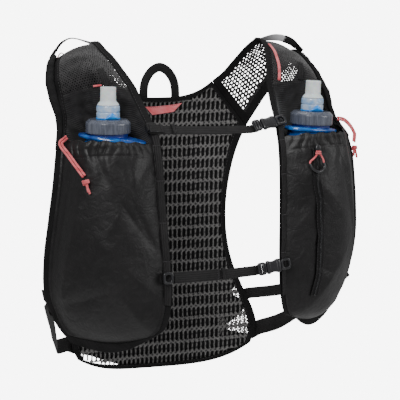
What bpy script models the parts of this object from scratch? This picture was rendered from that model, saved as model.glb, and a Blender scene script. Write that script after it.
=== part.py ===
"""A running hydration vest in its worn form, held open as a torso holds it.

The wearer faces -Y, +Z is up and +X is the wearer's left. The origin is the shoulder seat,
midway between the shoulders. Each half is one band that climbs from the back seam over the
shoulder and down the chest, so nearly every piece is placed by two numbers on that band:
u, from 0 at the neck edge to 1 at the arm edge, and t, which counts the sections of its table.
"""

import math

import bmesh
import bpy
import numpy as np
from mathutils import Matrix, Vector

# Whole vest, in metres
NECK_HALF_WIDTH = 0.0945
CHEST_HALF_WIDTH = 0.178
FRONT_REACH = 0.133
BACK_REACH = 0.057
FRONT_DROP = 0.322
BACK_DROP = 0.390
HEM_HALF_WIDTH = 0.116
BACK_MEAN_HALF_WIDTH = 0.092
NECK_DIP = 0.018

# Cloth, tape and webbing
CLEARANCE = 0.0003
SEAM_GAP = 0.0008
FOOT_GAP = 0.0029
NET_THICKNESS = 0.0016
CLOTH_THICKNESS = 0.0012
TAPE_THICKNESS = 0.0024
TAPE_WIDTH = 0.008
ARM_TAPE_WIDTH = 0.014
ARM_TAPE_ROLL = 0.004
WEBBING_THICKNESS = 0.0012
RAIL_WIDTH = 0.0072
STRAP_WIDTH = 0.010
SIDE_STRAP_WIDTH = 0.011
SIDE_STRAP_LOW_WIDTH = 0.014
NET_SEAM_COLUMNS = 2
NET_NECK_COLUMNS = 8
NET_ROWS = 7
SHOULDER_COLUMNS = 4
PIERCED_ROWS = 4
LINING_COLUMNS = 8
POCKET_COLUMNS = 12
SHOULDER_CROWN = 0.010
BOTTOM_SAG = 0.016
GATHER_DEPTH = 0.0012
GATHERS = 9
REAR_BULGE = 0.002

# Flask, cap and valve, in metres; the flask's breadth is a share of the band's width at the
# pocket's mouth, and the cap's place is a share of the chest half width, the front reach and
# the front drop
FLASK_BREADTH = 0.3087
FLASK_DEPTH = 0.050
FLASK_PLAY = 0.0024
FLASK_U = 0.47
CAP_RADIUS = 0.0234
CAP_ACROSS = 0.6545
CAP_FORWARD = 0.7030
CAP_HEIGHT = 0.0165
CAP_TOP_DEPTH = 0.2376
CAP_TOP_RADIUS = 0.0205
CAP_RING_HEIGHT = 0.0015
SPIGOT_RADIUS = 0.0055
SPIGOT_HEIGHT = 0.009
COLLAR_RADIUS = 0.0122
COLLAR_HEIGHT = 0.0125
LUG_HEIGHT = 0.0055
LUG_WIDTH = 0.012
LUG_REACH = 0.0028
VALVE_RADIUS = 0.0082
VALVE_SKIRT_RADIUS = 0.0112
VALVE_HEIGHT = 0.0185
FLASK_LEAN = {"left": 3.0, "right": 0.8}

# Chest straps and buckles
BUCKLE_HEIGHT = 0.0138
SOCKET_LENGTH = 0.0165
SOCKET_THICKNESS = 0.006
LADDER_LENGTH = 0.0098
PLATE_THICKNESS = 0.0042
FORK_LENGTH = 0.0115
FORK_HEIGHT = 0.0122
FORK_BAND = 0.0030
FORK_OVERHANG = 0.004
RAIL_STANDOFF = 0.0027
WIDE_STRAP_WIDTH = 0.0125
WIDE_STRAP_END = -0.032

# Loops, cords and zip
HAUL_HALF_WIDTH = 0.0205
HAUL_TOP = 0.0353
HAUL_FOOT = 0.0738
HAUL_WEBBING = 0.0085
LABEL_HALF_WIDTH = 0.0215
LABEL_LOW_HALF_WIDTH = 0.0145
SHOULDER_LOOP_T = 3.55
SHOULDER_LOOP_WIDTH = 0.009
SHOULDER_LOOP_RISE = 0.0165
SHOULDER_LOOP_FACE = (0.37, -0.92, 0.16)
CORD_DIAMETER = 0.0022
CORD_SPACING = 0.0027
KNOT_DIAMETER = 0.0072
ZIP_WIDTH = 0.0075
ZIP_CLEARANCE = 0.0009
GRIP_DIAMETER = 0.0030
SLIDER_LENGTH = 0.0065
SLIDER_WIDTH = 0.0050
SLIDER_THICKNESS = 0.0024
SHOULDER_CORD_WIDTH = 0.0036
VALVE_TAB_WIDTH = 0.0065

# One row for each section of a band, from the back seam over the shoulder to the foot of the
# front panel. x is a share of the neck half width (inner) or chest half width (outer), y of the
# front or back reach, z of the front drop; crown is a share of SHOULDER_CROWN, hollow and swell
# of the half space that the flask takes, and sag of BOTTOM_SAG.
BAND_ROWS = (
    # section, inner_x, inner_y, inner_z, outer_x, outer_y, outer_z, crown, hollow, swell, sag
    ("seam", 0.614, 0.860, -0.161, 0.567, 0.860, -0.332, 0.0, 0.0, 0.0, 0.0),
    ("blade", 0.730, 0.772, -0.130, 0.629, 0.789, -0.273, 0.3, 0.0, 0.0, 0.0),
    ("back_slope", 0.836, 0.579, -0.081, 0.702, 0.632, -0.199, 0.5, 0.0, 0.0, 0.0),
    ("behind_crest", 0.931, 0.351, -0.034, 0.781, 0.386, -0.121, 0.7, 0.0, 0.0, 0.0),
    ("crest", 1.000, 0.088, -0.006, 0.837, 0.070, -0.071, 0.8, 0.0, 0.0, 0.0),
    ("ahead_of_crest", 0.984, -0.115, -0.022, 0.876, -0.100, -0.078, 0.9, 0.0, 0.0, 0.0),
    ("collarbone", 0.926, -0.277, -0.062, 0.902, -0.223, -0.112, 1.2, 0.0, 0.0, 0.0),
    ("mesh_hem", 0.862, -0.438, -0.127, 0.916, -0.338, -0.168, 1.7, 0.0, 0.0, 0.0),
    ("cap_top", 0.804, -0.600, -0.208, 0.927, -0.446, -0.236, 0.0, 0.50, 0.23, 0.0),
    ("mouth", 0.718, -0.805, -0.286, 0.944, -0.523, -0.301, 0.0, 1.02, 0.95, 0.0),
    ("upper", 0.700, -0.880, -0.357, 0.955, -0.562, -0.363, 0.0, 1.04, 1.04, 0.0),
    ("chest", 0.693, -0.915, -0.450, 0.966, -0.577, -0.453, 0.0, 1.00, 1.08, 0.0),
    ("middle", 0.677, -0.946, -0.575, 0.983, -0.562, -0.575, 0.0, 1.00, 1.08, 0.0),
    ("low", 0.656, -0.977, -0.699, 0.994, -0.523, -0.699, 0.0, 1.00, 1.04, 0.0),
    ("lower", 0.656, -1.000, -0.814, 0.972, -0.469, -0.814, 0.0, 0.92, 0.92, 0.0),
    ("turn", 0.720, -0.992, -0.907, 0.893, -0.469, -0.898, 0.0, 0.80, 0.84, 0.44),
    ("foot", 0.868, -0.931, -0.947, 0.787, -0.554, -0.938, 0.0, 0.70, 0.74, 1.00),
)
FOOT_T = len(BAND_ROWS) - 1
MESH_HEM_T = 7.3
RAIL_TOP_T = 8.7
RAIL_END_T = 14.2
MOUTH_T = 9.5
CLOSING_T = 13.5

# Stations along the band that neighbouring pieces share, so that their edges run alike
SHOULDER_T = np.linspace(0.05, MESH_HEM_T, 12)
CHEST_T = np.linspace(MESH_HEM_T + 0.04, MOUTH_T, 4)

# The back panel's side edge from the seam to the hem corner; drop is a share of BACK_DROP,
# half_width of HEM_HALF_WIDTH and reach of BACK_REACH.
BACK_SIDE_ROWS = (
    # drop, half_width, reach
    (0.325, 0.800, 0.915),
    (0.385, 0.740, 0.947),
    (0.461, 0.694, 0.974),
    (0.538, 0.676, 0.982),
    (0.615, 0.694, 0.982),
    (0.692, 0.754, 0.974),
    (0.769, 0.862, 0.947),
    (0.846, 0.974, 0.895),
    (0.900, 1.000, 0.868),
)
HEM_CORNER = (0.945, 0.935, 0.877)
HEM_ROUNDNESS = 2.6

# Folds pressed into the outer cloth of a pocket: centre u and t, direction in degrees from
# across to down, half length and half breadth as shares of the pocket, height in metres.
POCKET_FOLDS = {
    "left": (
        # u, t, turn, length, breadth, height
        (0.30, 11.2, 25, 0.30, 0.07, 0.0022),
        (0.74, 12.0, 80, 0.42, 0.06, 0.0018),
        (0.35, 14.2, -35, 0.30, 0.07, 0.0022),
    ),
    "right": (
        (0.26, 11.0, 40, 0.34, 0.07, 0.0024),
        (0.24, 13.4, -30, 0.30, 0.06, 0.0024),
        (0.22, 14.6, -42, 0.26, 0.06, 0.0022),
        (0.78, 12.6, 75, 0.40, 0.06, 0.0018),
    ),
}
SIDES = (("left", 1.0), ("right", -1.0))

# Rings of the flask above its body: drop under the cap and half depth in metres, and half
# width as a share of the body's
FLASK_TOP_ROWS = (
    # drop, half_width, half_depth
    (0.0003, 0.621, 0.0205),
    (0.0028, 0.621, 0.0200),
    (0.0031, 0.955, 0.0185),
    (0.0046, 1.030, 0.0205),
    (0.0100, 1.030, 0.0205),
    (0.0118, 0.976, 0.0198),
)

# Rings of the flask in its pocket: section t and size as a share of the room there
FLASK_BODY_ROWS = (
    # t, share
    (10.0, 1.0),
    (10.7, 1.0),
    (11.5, 1.0),
    (12.4, 1.0),
    (13.3, 1.0),
    (13.9, 0.97),
    (14.3, 0.84),
    (14.55, 0.55),
)

# Chest straps: sections where they cross the right and left rails, and how far the webbing
# has dropped, in metres, where it meets its buckle
CHEST_STRAPS = {
    # name: right t, left t, drop
    "upper": (8.85, 8.66, 0.0020),
    "lower": (13.38, 13.24, -0.0010),
}

# Side straps: place on the back panel's edge, points between as shares of the chest half
# width, the front reach and the back drop, and section at the front panel's edge
SIDE_STRAPS = {
    # name: back v, ((x, y, z), (x, y, z)), front t, width
    "upper": (0.717, ((0.792, 0.19, -0.760), (0.955, -0.13, -0.715)), 14.05, SIDE_STRAP_WIDTH),
    "lower": (0.880, ((0.822, 0.17, -0.852), (0.935, -0.14, -0.790)), 14.85, SIDE_STRAP_LOW_WIDTH),
}

# Haul loop from foot to top: shares of its half width and of its height
HAUL_ROWS = (
    # across, up
    (1.00, 0.00),
    (1.00, 0.30),
    (0.94, 0.52),
    (0.76, 0.73),
    (0.44, 0.91),
    (0.00, 1.00),
)

# Cords and tapes on the band: share u, section t and lift in metres from the pocket cloth
DRAWCORD_ROWS = {
    "left": (
        # u, t, lift
        (0.965, 8.95, 0.0049),
        (1.040, 9.05, 0.0052),
        (1.080, 9.30, 0.0020),
        (1.066, 9.75, 0.0010),
        (1.040, 10.10, 0.0010),
    ),
    "right": (
        (0.890, 9.12, 0.0060),
        (0.945, 9.26, 0.0056),
        (0.935, 9.50, 0.0052),
        (0.870, 9.86, 0.0054),
        (0.790, 10.25, 0.0048),
        (0.700, 10.62, 0.0042),
    ),
}
KNOT_ROWS = {
    "left": ((1.030, 10.19, 0.0015), (1.020, 10.50, 0.0020), (1.005, 10.80, 0.0030)),
    "right": ((0.690, 10.70, 0.0045), (0.665, 10.90, 0.0045), (0.640, 11.12, 0.0030)),
}
ZIP_ROWS = (
    # u, t
    (0.290, 10.05),
    (0.272, 10.60),
    (0.258, 11.10),
    (0.280, 11.62),
    (0.290, 12.30),
    (0.295, 12.95),
    (0.300, 13.55),
    (0.262, 14.30),
)
ZIP_CORD_ROWS = {
    "a": ((0.268, 10.28, 0.0052), (0.235, 10.40, 0.0052), (0.205, 10.52, 0.0050)),
    "b": ((0.306, 10.28, 0.0050), (0.320, 10.40, 0.0048), (0.328, 10.52, 0.0050)),
}
ZIP_GRIP_ROWS = (
    (0.202, 10.575, 0.0056),
    (0.214, 10.720, 0.0056),
    (0.250, 10.830, 0.0056),
    (0.298, 10.810, 0.0056),
    (0.328, 10.700, 0.0056),
    (0.330, 10.575, 0.0056),
)
SHOULDER_CORD_ROWS = ((0.120, 5.0), (0.150, 5.6), (0.160, 6.2), (0.158, 6.7), (0.150, 7.2))
VALVE_TAB_ROWS = {"left": (0.42, 6.62, 7.24), "right": (0.34, 6.66, 7.26)}


def srgb(code):
    """Linear colour of a hex code."""
    values = [int(code[i : i + 2], 16) / 255 for i in (0, 2, 4)]
    return [v / 12.92 if v <= 0.04045 else ((v + 0.055) / 1.055) ** 2.4 for v in values]


def material(name, code, roughness, metallic=0.0):
    made = bpy.data.materials.new(name)
    made.use_nodes = True
    shader = made.node_tree.nodes["Principled BSDF"]
    shader.inputs["Base Color"].default_value = (*srgb(code), 1.0)
    shader.inputs["Roughness"].default_value = roughness
    shader.inputs["Metallic"].default_value = metallic
    return made


def clear_scene():
    for old in list(bpy.data.objects):
        bpy.data.objects.remove(old, do_unlink=True)


def add_collection(name):
    made = bpy.data.collections.new(name)
    bpy.context.scene.collection.children.link(made)
    return made


def smooth(rows, t):
    """A smooth curve through the rows, read at t in row numbers."""
    rows = np.asarray(rows, float)
    t = np.clip(np.asarray(t, float), 0, len(rows) - 1)
    k = np.minimum(t.astype(int), len(rows) - 2)
    f = (t - k)[..., None]
    ends = np.vstack([2 * rows[0] - rows[1], rows, 2 * rows[-1] - rows[-2]])
    a, b, c, d = (ends[k + i] for i in range(4))
    return b + 0.5 * f * (c - a + f * (2 * a - 5 * b + 4 * c - d + f * (3 * (b - c) + d - a)))


def unit(vectors):
    return vectors / np.linalg.norm(vectors, axis=-1, keepdims=True)


def flask_space():
    """Half the room between the two cloths of a pocket where the flask is thickest."""
    return FLASK_DEPTH / 2 + CLOTH_THICKNESS / 2 + CLEARANCE


def band_rows():
    """The band's table in metres: inner xyz, outer xyz, crown, hollow, swell and sag."""
    shares = np.array([row[1:] for row in BAND_ROWS])
    reach = np.where(shares < 0, FRONT_REACH, BACK_REACH)
    rows = shares.copy()
    rows[:, 0] *= NECK_HALF_WIDTH
    rows[:, 3] *= CHEST_HALF_WIDTH
    for column in (1, 4):
        rows[:, column] *= reach[:, column]
    for column in (2, 5):
        rows[:, column] *= FRONT_DROP
    rows[:, 6] *= SHOULDER_CROWN
    rows[:, 7:9] *= flask_space()
    rows[:, 9] *= BOTTOM_SAG
    return rows


BAND = band_rows()


def chord(u, t):
    """The left band without its bulges: straight from neck edge to arm edge, sagging at the foot."""
    row = smooth(BAND, t)
    u = np.asarray(u, float)
    point = row[..., 0:3] * (1 - u[..., None]) + row[..., 3:6] * u[..., None]
    point[..., 2] -= row[..., 9] * np.sin(np.pi * np.clip(u, 0, 1))
    return point


def band_width(t):
    row = smooth(BAND, t)
    return np.linalg.norm(row[..., 3:6] - row[..., 0:3], axis=-1)


def chord_normal(u, t):
    """Unit normal of the band, pointing away from the body."""
    step = 1e-3
    along_u = chord(u + step, t) - chord(u - step, t)
    along_t = chord(u, t + step) - chord(u, t - step)
    return unit(np.cross(along_t, along_u))


def foot_share(length):
    """The step in t that a length along the foot takes."""
    return length / np.linalg.norm(chord(0.5, FOOT_T) - chord(0.5, FOOT_T - 1.0))


POCKET_T = np.concatenate(
    [
        np.linspace(MOUTH_T + 0.04, FOOT_T - 1.0, 9),
        [FOOT_T - foot_share(TAPE_WIDTH + FOOT_GAP)],
    ]
)


def seam_gap(t):
    """Gap between cloth and tape, which opens towards the turned corners of the foot."""
    return SEAM_GAP * (1 + 3 * np.clip(t - (FOOT_T - 1.5), 0, 1))


def arch(u, t):
    """0 along the edge tapes and the foot, and 1 in the middle of the band."""
    edge = (TAPE_WIDTH + seam_gap(t)) / band_width(t)
    inside = np.clip((u - edge) / (1 - 2 * edge), 0, 1)
    closing = np.clip((t - CLOSING_T) / (POCKET_T[-1] - CLOSING_T), 0, 1)
    return np.clip(np.sin(np.pi * inside), 0, 1) ** 0.8 * (1 - closing**2) ** 0.75


def lining(u, t, lift=0.0):
    """The left band's cloth against the body: it crowns over the shoulder and hollows round the flask."""
    u, t = np.broadcast_arrays(np.asarray(u, float), np.asarray(t, float))
    row = smooth(BAND, t)
    rise = (row[..., 6] - row[..., 7]) * arch(u, t) + lift
    return chord(u, t) + chord_normal(u, t) * rise[..., None]


def fold_height(side, u, t):
    """Ridges of the pocket cloth and the gathers under its mouth."""
    height = np.zeros_like(u)
    for centre_u, centre_t, turn, length, breadth, rise in POCKET_FOLDS[side]:
        span = FOOT_T - MOUTH_T
        across = u - centre_u
        down = (t - centre_t) / span
        c, s = math.cos(math.radians(turn)), math.sin(math.radians(turn))
        along = (across * c + down * s) / length
        beside = (down * c - across * s) / breadth
        height += rise * np.exp(-(along**2) - beside**2)
    gathered = np.exp(-(((t - MOUTH_T - 0.5) / 0.55) ** 2))
    height += GATHER_DEPTH * gathered * np.cos(2 * np.pi * GATHERS * u)
    return height


def pocket_cloth(side, u, t, lift=0.0):
    """The outer cloth of a pocket, seated on the lining at its edges and swollen by the flask."""
    u, t = np.broadcast_arrays(np.asarray(u, float), np.asarray(t, float))
    row = smooth(BAND, t)
    seat = CLOTH_THICKNESS + CLEARANCE
    held = np.clip(arch(u, t) * 2.2, 0, 1)
    rise = seat + row[..., 8] * arch(u, t) + held * fold_height(side, u, t) + lift
    return chord(u, t) + chord_normal(u, t) * rise[..., None]


def mirrored(points, sign):
    """The same points on the left or on the right half."""
    return np.asarray(points, float) * np.array([sign, 1.0, 1.0])


def place(name, mesh, finish):
    mesh.materials.append(finish)
    made = bpy.data.objects.new(name, mesh)
    parts.objects.link(made)
    return made


def grid_mesh(name, grid, closed=False):
    """An open mesh over a grid of points; closed joins its last row to its first."""
    rows, columns = grid.shape[:2]
    index = np.arange(rows * columns).reshape(rows, columns)
    if closed:
        index = np.vstack([index, index[:1]])
    faces = np.stack([index[:-1, :-1], index[:-1, 1:], index[1:, 1:], index[1:, :-1]], axis=-1)
    mesh = bpy.data.meshes.new(name)
    mesh.from_pydata(grid.reshape(-1, 3).tolist(), [], faces.reshape(-1, 4).tolist())
    return mesh


def give_wall(made, thickness):
    wall = made.modifiers.new("wall", "SOLIDIFY")
    wall.thickness = thickness
    wall.offset = 0.0
    return made


def sheet(name, grid, thickness, finish, closed=False):
    """Cloth of one thickness over a grid of points."""
    made = place(name, grid_mesh(name, grid, closed), finish)
    return give_wall(made, thickness)


def ribbon(name, centres, across, width, thickness, finish):
    """Webbing along centres, as wide as width in the directions of across."""
    centres, across = np.asarray(centres, float), unit(np.asarray(across, float))
    half = across * np.broadcast_to(np.asarray(width, float), (len(centres),))[:, None] / 2
    return sheet(name, np.stack([centres - half, centres + half], axis=1), thickness, finish)


def tube(name, points, diameter, finish, swell=None):
    """A cord with closed ends along its points; swell scales its radius from point to point."""
    data = bpy.data.curves.new(name, "CURVE")
    data.dimensions = "3D"
    data.bevel_depth = diameter / 2
    data.bevel_resolution = 1
    data.use_fill_caps = True
    line = data.splines.new("POLY")
    line.points.add(len(points) - 1)
    swell = np.ones(len(points)) if swell is None else swell
    for point, at, share in zip(line.points, points, swell):
        point.co = (*at, 1.0)
        point.radius = share
    return place(name, data, finish)


def turned(name, profile, steps, finish):
    """A profile of radius and height turned about Z; it runs down its outer side."""
    mesh = bpy.data.meshes.new(name)
    edges = [(i, i + 1) for i in range(len(profile) - 1)]
    if profile[0][0] > 0:
        edges.append((len(profile) - 1, 0))
    mesh.from_pydata([(radius, 0.0, height) for radius, height in profile], edges, [])
    made = place(name, mesh, finish)
    screw = made.modifiers.new("turn", "SCREW")
    screw.steps = screw.render_steps = steps
    screw.use_merge_vertices = True
    screw.merge_threshold = 1e-4
    return made


def plate(name, outlines, thickness, finish):
    """A flat plate in the local XY plane; outlines after the first are holes."""
    data = bpy.data.curves.new(name, "CURVE")
    data.dimensions = "2D"
    data.fill_mode = "BOTH"
    data.extrude = thickness / 2
    for outline in outlines:
        line = data.splines.new("POLY")
        line.points.add(len(outline) - 1)
        line.use_cyclic_u = True
        for point, (x, y) in zip(line.points, outline):
            point.co = (x, y, 0.0, 1.0)
    return place(name, data, finish)


def rounded_box(length, height, corner, x=0.0, y=0.0, steps=3):
    """Outline of a rectangle with round corners."""
    outline = []
    for quarter, (sx, sy) in enumerate(((1, 1), (-1, 1), (-1, -1), (1, -1))):
        cx, cy = x + sx * (length / 2 - corner), y + sy * (height / 2 - corner)
        for k in range(steps):
            turn = math.pi / 2 * (quarter + k / (steps - 1))
            outline.append((cx + corner * math.cos(turn), cy + corner * math.sin(turn)))
    return outline


def panel_point(u, v):
    """The back panel at u from the right seam to the left one and v from top edge to hem."""
    u, v = np.broadcast_arrays(np.asarray(u, float), np.asarray(v, float))
    top, bottom = back_top(u), back_hem(u)
    left, right = back_side(v, 1.0), back_side(v, -1.0)
    blend_u, blend_v = u[..., None], v[..., None]
    edges = (1 - blend_v) * top + blend_v * bottom + (1 - blend_u) * right + blend_u * left
    corners = (
        (1 - blend_u) * (1 - blend_v) * back_top(np.zeros_like(u))
        + blend_u * (1 - blend_v) * back_top(np.ones_like(u))
        + (1 - blend_u) * blend_v * back_hem(np.zeros_like(u))
        + blend_u * blend_v * back_hem(np.ones_like(u))
    )
    return edges - corners


def back_top(u):
    """Top edge: along the seam to each shoulder, with the neck's dip between."""
    inner, outer = BAND[0, 0:3], BAND[0, 3:6]
    x = outer[0] * (2 * u - 1)
    away = np.abs(x)
    on_seam = np.clip((away - inner[0]) / (outer[0] - inner[0]), 0, 1)
    in_neck = np.clip(away / inner[0], 0, 1)
    z = inner[2] + on_seam * (outer[2] - inner[2]) - NECK_DIP * (1 - in_neck**3)
    y = inner[1] + (BACK_REACH - inner[1]) * (1 - in_neck**2)
    return np.stack([x, y, z], axis=-1)


def back_side(v, sign):
    """Side edge from the seam's arm end to the hem corner."""
    start = BAND[0, 3:6] * np.array([1 / HEM_HALF_WIDTH, 1 / BACK_REACH, -1 / BACK_DROP])
    rows = np.array([(start[2], start[0], start[1]), *BACK_SIDE_ROWS, HEM_CORNER])
    row = smooth(rows, v * (len(rows) - 1))
    side = np.stack([row[..., 1] * HEM_HALF_WIDTH, row[..., 2] * BACK_REACH], axis=-1)
    return np.stack([sign * side[..., 0], side[..., 1], -row[..., 0] * BACK_DROP], axis=-1)


def back_hem(u):
    """Hem from corner to corner, lowest in the middle."""
    corner = HEM_CORNER
    x = corner[1] * HEM_HALF_WIDTH * (2 * u - 1)
    share = np.abs(2 * u - 1)
    z = -BACK_DROP * (1 - (1 - corner[0]) * share**HEM_ROUNDNESS)
    y = BACK_REACH * (1 - (1 - corner[2]) * share**2)
    return np.stack([x, y, z], axis=-1)


def panel_inset(length):
    """Shares of the back panel's width and height that a length along its edge takes."""
    return length / (2 * BACK_MEAN_HALF_WIDTH), length / (BACK_DROP + BAND[0, 2])


def panel_ring(us, vs, inset):
    """Points all round the back panel at the net's own stations, inset from its edge by a length."""
    a, b = panel_inset(inset)
    us = np.concatenate([[a], us[1:-1], [1 - a]])
    vs = np.concatenate([[b], vs[1:-1], [1 - b]])
    ring_u = np.concatenate([us[:-1], 0 * vs[:-1] + 1 - a, us[:0:-1], 0 * vs[1:] + a])
    ring_v = np.concatenate([0 * us[:-1] + b, vs[:-1], 0 * us[1:] + 1 - b, vs[:0:-1]])
    return panel_point(ring_u, ring_v)


def panel_lift(points, u, v, lift):
    """Points of the back panel moved away from the body."""
    step = 1e-3
    along_u = panel_point(u + step, v) - panel_point(u - step, v)
    along_v = panel_point(u, v + step) - panel_point(u, v - step)
    return points + unit(np.cross(along_u, along_v)) * np.asarray(lift)[..., None]


def pierced_sheet(name, surface, us, ts, has_hole, finish):
    """Net over a grid, with a long six-sided hole in each cell that has_hole picks."""
    hole = ((-0.29, -0.22), (-0.29, 0.22), (0, 0.38), (0.29, 0.22), (0.29, -0.22), (0, -0.38))
    grid_u, grid_t = np.meshgrid(us, ts, indexing="ij")
    places = list(zip(grid_u.ravel(), grid_t.ravel()))
    faces = []
    for i in range(len(us) - 1):
        for j in range(len(ts) - 1):
            a, b = i * len(ts) + j, (i + 1) * len(ts) + j
            c, d = b + 1, a + 1
            if not has_hole(i, j):
                faces.append((a, b, c, d))
                continue
            middle_u, middle_t = (us[i] + us[i + 1]) / 2, (ts[j] + ts[j + 1]) / 2
            size_u, size_t = us[i + 1] - us[i], ts[j + 1] - ts[j]
            first = len(places)
            places += [(middle_u + x * size_u, middle_t + y * size_t) for x, y in hole]
            lb, lt, top, rt, rb, low = range(first, first + 6)
            faces += [(a, b, rb, low, lb), (b, c, rt, rb), (c, d, lt, top, rt), (d, a, lb, lt)]
    at = np.array(places)
    mesh = bpy.data.meshes.new(name)
    mesh.from_pydata(surface(at[:, 0], at[:, 1]).tolist(), [], faces)
    return give_wall(place(name, mesh, finish), NET_THICKNESS)


def net_stations():
    """Grid lines of the back net; one falls where the neck edge meets each seam."""
    a, b = panel_inset(TAPE_WIDTH + SEAM_GAP)
    peak = (1 - BAND[0, 0] / BAND[0, 3]) / 2
    seam = np.linspace(a, peak, NET_SEAM_COLUMNS + 1)
    neck = np.linspace(peak, 1 - peak, NET_NECK_COLUMNS + 1)
    us = np.concatenate([seam, neck[1:-1], 1 - seam[::-1]])
    return us, np.linspace(b, 1 - b, NET_ROWS + 1)


def make_back():
    us, vs = net_stations()
    pierced_sheet("back_net", panel_point, us, vs, lambda i, j: True, net)
    outer, inner = panel_ring(us, vs, 0.0), panel_ring(us, vs, TAPE_WIDTH)
    sheet("back_binding", np.stack([outer, inner], axis=1), TAPE_THICKNESS, tape, closed=True)
    u, v = np.meshgrid(us[1:-1], np.concatenate([vs[:-1:2], vs[-1:]]), indexing="ij")
    across = (u - us[1]) / (us[-2] - us[1])
    down = np.clip((vs[-1] - v) / (vs[-1] - vs[-3]), 0, 1)
    bulge = REAR_BULGE * np.clip(4 * across * (1 - across) * down, 0, 1) ** 0.7
    lift = (NET_THICKNESS + CLOTH_THICKNESS) / 2 + 5 * CLEARANCE + bulge
    sheet("rear_panel", panel_lift(panel_point(u, v), u, v, lift), CLOTH_THICKNESS, cloth)


def band_edges(t):
    """Shares of the band's width that its neck tape takes, and its arm tape, which narrows to the pocket."""
    width = band_width(t)
    taper = np.clip((MOUTH_T - t) / (MOUTH_T - MESH_HEM_T), 0, 1)
    return TAPE_WIDTH / width, (TAPE_WIDTH + (ARM_TAPE_WIDTH - TAPE_WIDTH) * taper) / width


def between(share, inner, outer, t):
    """u at a share of the way between two tapes, clear of both by the seam's gap."""
    gap = seam_gap(t) / band_width(t)
    return (inner + gap) * (1 - share) + (1 - outer - gap) * share


def make_shoulder(side, sign):
    """Mesh from the back seam to the chest, between its two tapes."""

    def surface(share, t):
        inner, outer = band_edges(t)
        return mirrored(lining(between(share, inner, outer, t), t), sign)

    def has_hole(i, j):
        return 0 < j <= PIERCED_ROWS and 0 < i < SHOULDER_COLUMNS - 1

    shares = np.linspace(0, 1, SHOULDER_COLUMNS + 1)
    pierced_sheet(f"{side}_shoulder", surface, shares, SHOULDER_T, has_hole, fine_mesh)


def make_tapes(side, sign):
    ts = np.concatenate([SHOULDER_T, CHEST_T])
    neck, arm = band_edges(ts)
    grid = np.stack([lining(0 * neck, ts), lining(neck, ts)], axis=1)
    sheet(f"{side}_neck_binding", mirrored(grid, sign), TAPE_THICKNESS, tape)
    share = np.linspace(0, 1, 3)
    u = 1 - arm[:, None] * (1 - share)
    t = np.broadcast_to(ts[:, None], u.shape)
    roll = ARM_TAPE_ROLL * np.sin(np.pi * share)
    grid = lining(u, t, np.broadcast_to(roll, u.shape))
    sheet(f"{side}_arm_binding", mirrored(grid, sign), TAPE_THICKNESS, tape)


def make_front(side, sign):
    ts = np.concatenate([CHEST_T, POCKET_T])
    share = np.linspace(0, 1, LINING_COLUMNS + 1)
    t = np.broadcast_to(ts[:, None], (len(ts), len(share)))
    neck, arm = band_edges(t)
    sheet(
        f"{side}_front",
        mirrored(lining(between(share, neck, arm, t), t), sign),
        CLOTH_THICKNESS,
        cloth,
    )


def make_pocket(side, sign):
    share = np.linspace(0, 1, POCKET_COLUMNS + 1)
    t = np.broadcast_to(POCKET_T[:, None], (len(POCKET_T), len(share)))
    tape_u = TAPE_WIDTH / band_width(t)
    grid = mirrored(pocket_cloth(side, between(share, tape_u, tape_u, t), t), sign)
    sheet(f"{side}_pocket", grid, CLOTH_THICKNESS, nylon)


def make_pocket_binding(side, sign):
    """Tape down the inner edge of the pocket, along its foot and up the outer edge."""
    run = np.linspace(0, 1, LINING_COLUMNS + 1)[1:-1]
    down = np.concatenate([POCKET_T, [FOOT_T]])
    edge_u = np.concatenate([0 * down, run, 0 * down + 1])
    edge_t = np.concatenate([down, 0 * run + FOOT_T, down[::-1]])
    inner_down = np.concatenate([POCKET_T, [FOOT_T - foot_share(TAPE_WIDTH)]])
    inset = TAPE_WIDTH / band_width(inner_down)
    foot_u = inset[-1] * (1 - run) + (1 - inset[-1]) * run
    inner_u = np.concatenate([inset, foot_u, 1 - inset[::-1]])
    inner_t = np.concatenate([inner_down, 0 * run + inner_down[-1], inner_down[::-1]])
    grid = np.stack([chord(edge_u, edge_t), chord(inner_u, inner_t)], axis=1)
    sheet(f"{side}_pocket_binding", mirrored(grid, sign), TAPE_THICKNESS, tape)


def make_rail(side, sign):
    ts = np.linspace(RAIL_TOP_T, RAIL_END_T, 12)
    middle = TAPE_WIDTH / 2 / band_width(ts)
    lift = (TAPE_THICKNESS + WEBBING_THICKNESS) / 2 + CLEARANCE
    centres = mirrored(lining(middle, ts, lift), sign)
    across = mirrored(chord(middle + 0.01, ts) - chord(middle - 0.01, ts), sign)
    ribbon(f"{side}_rail", centres, across, RAIL_WIDTH, WEBBING_THICKNESS, webbing)


def flask_ring(centre, across, up, half_width, half_depth, steps=14):
    """Points of an oval ring round up, widest along across."""
    through = unit(np.cross(across, up))
    turn = np.linspace(0, 2 * np.pi, steps, endpoint=False)[:, None]
    return centre + across * half_width * np.cos(turn) + through * half_depth * np.sin(turn)


def cap_frame(side, sign):
    """Where the middle of the cap's top is and how the flask leans."""
    lean = Matrix.Rotation(math.radians(FLASK_LEAN[side]), 4, "Y")
    across, forward = CAP_ACROSS * CHEST_HALF_WIDTH, CAP_FORWARD * FRONT_REACH
    return Matrix.Translation((sign * across, -forward, -CAP_TOP_DEPTH * FRONT_DROP)) @ lean


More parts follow.
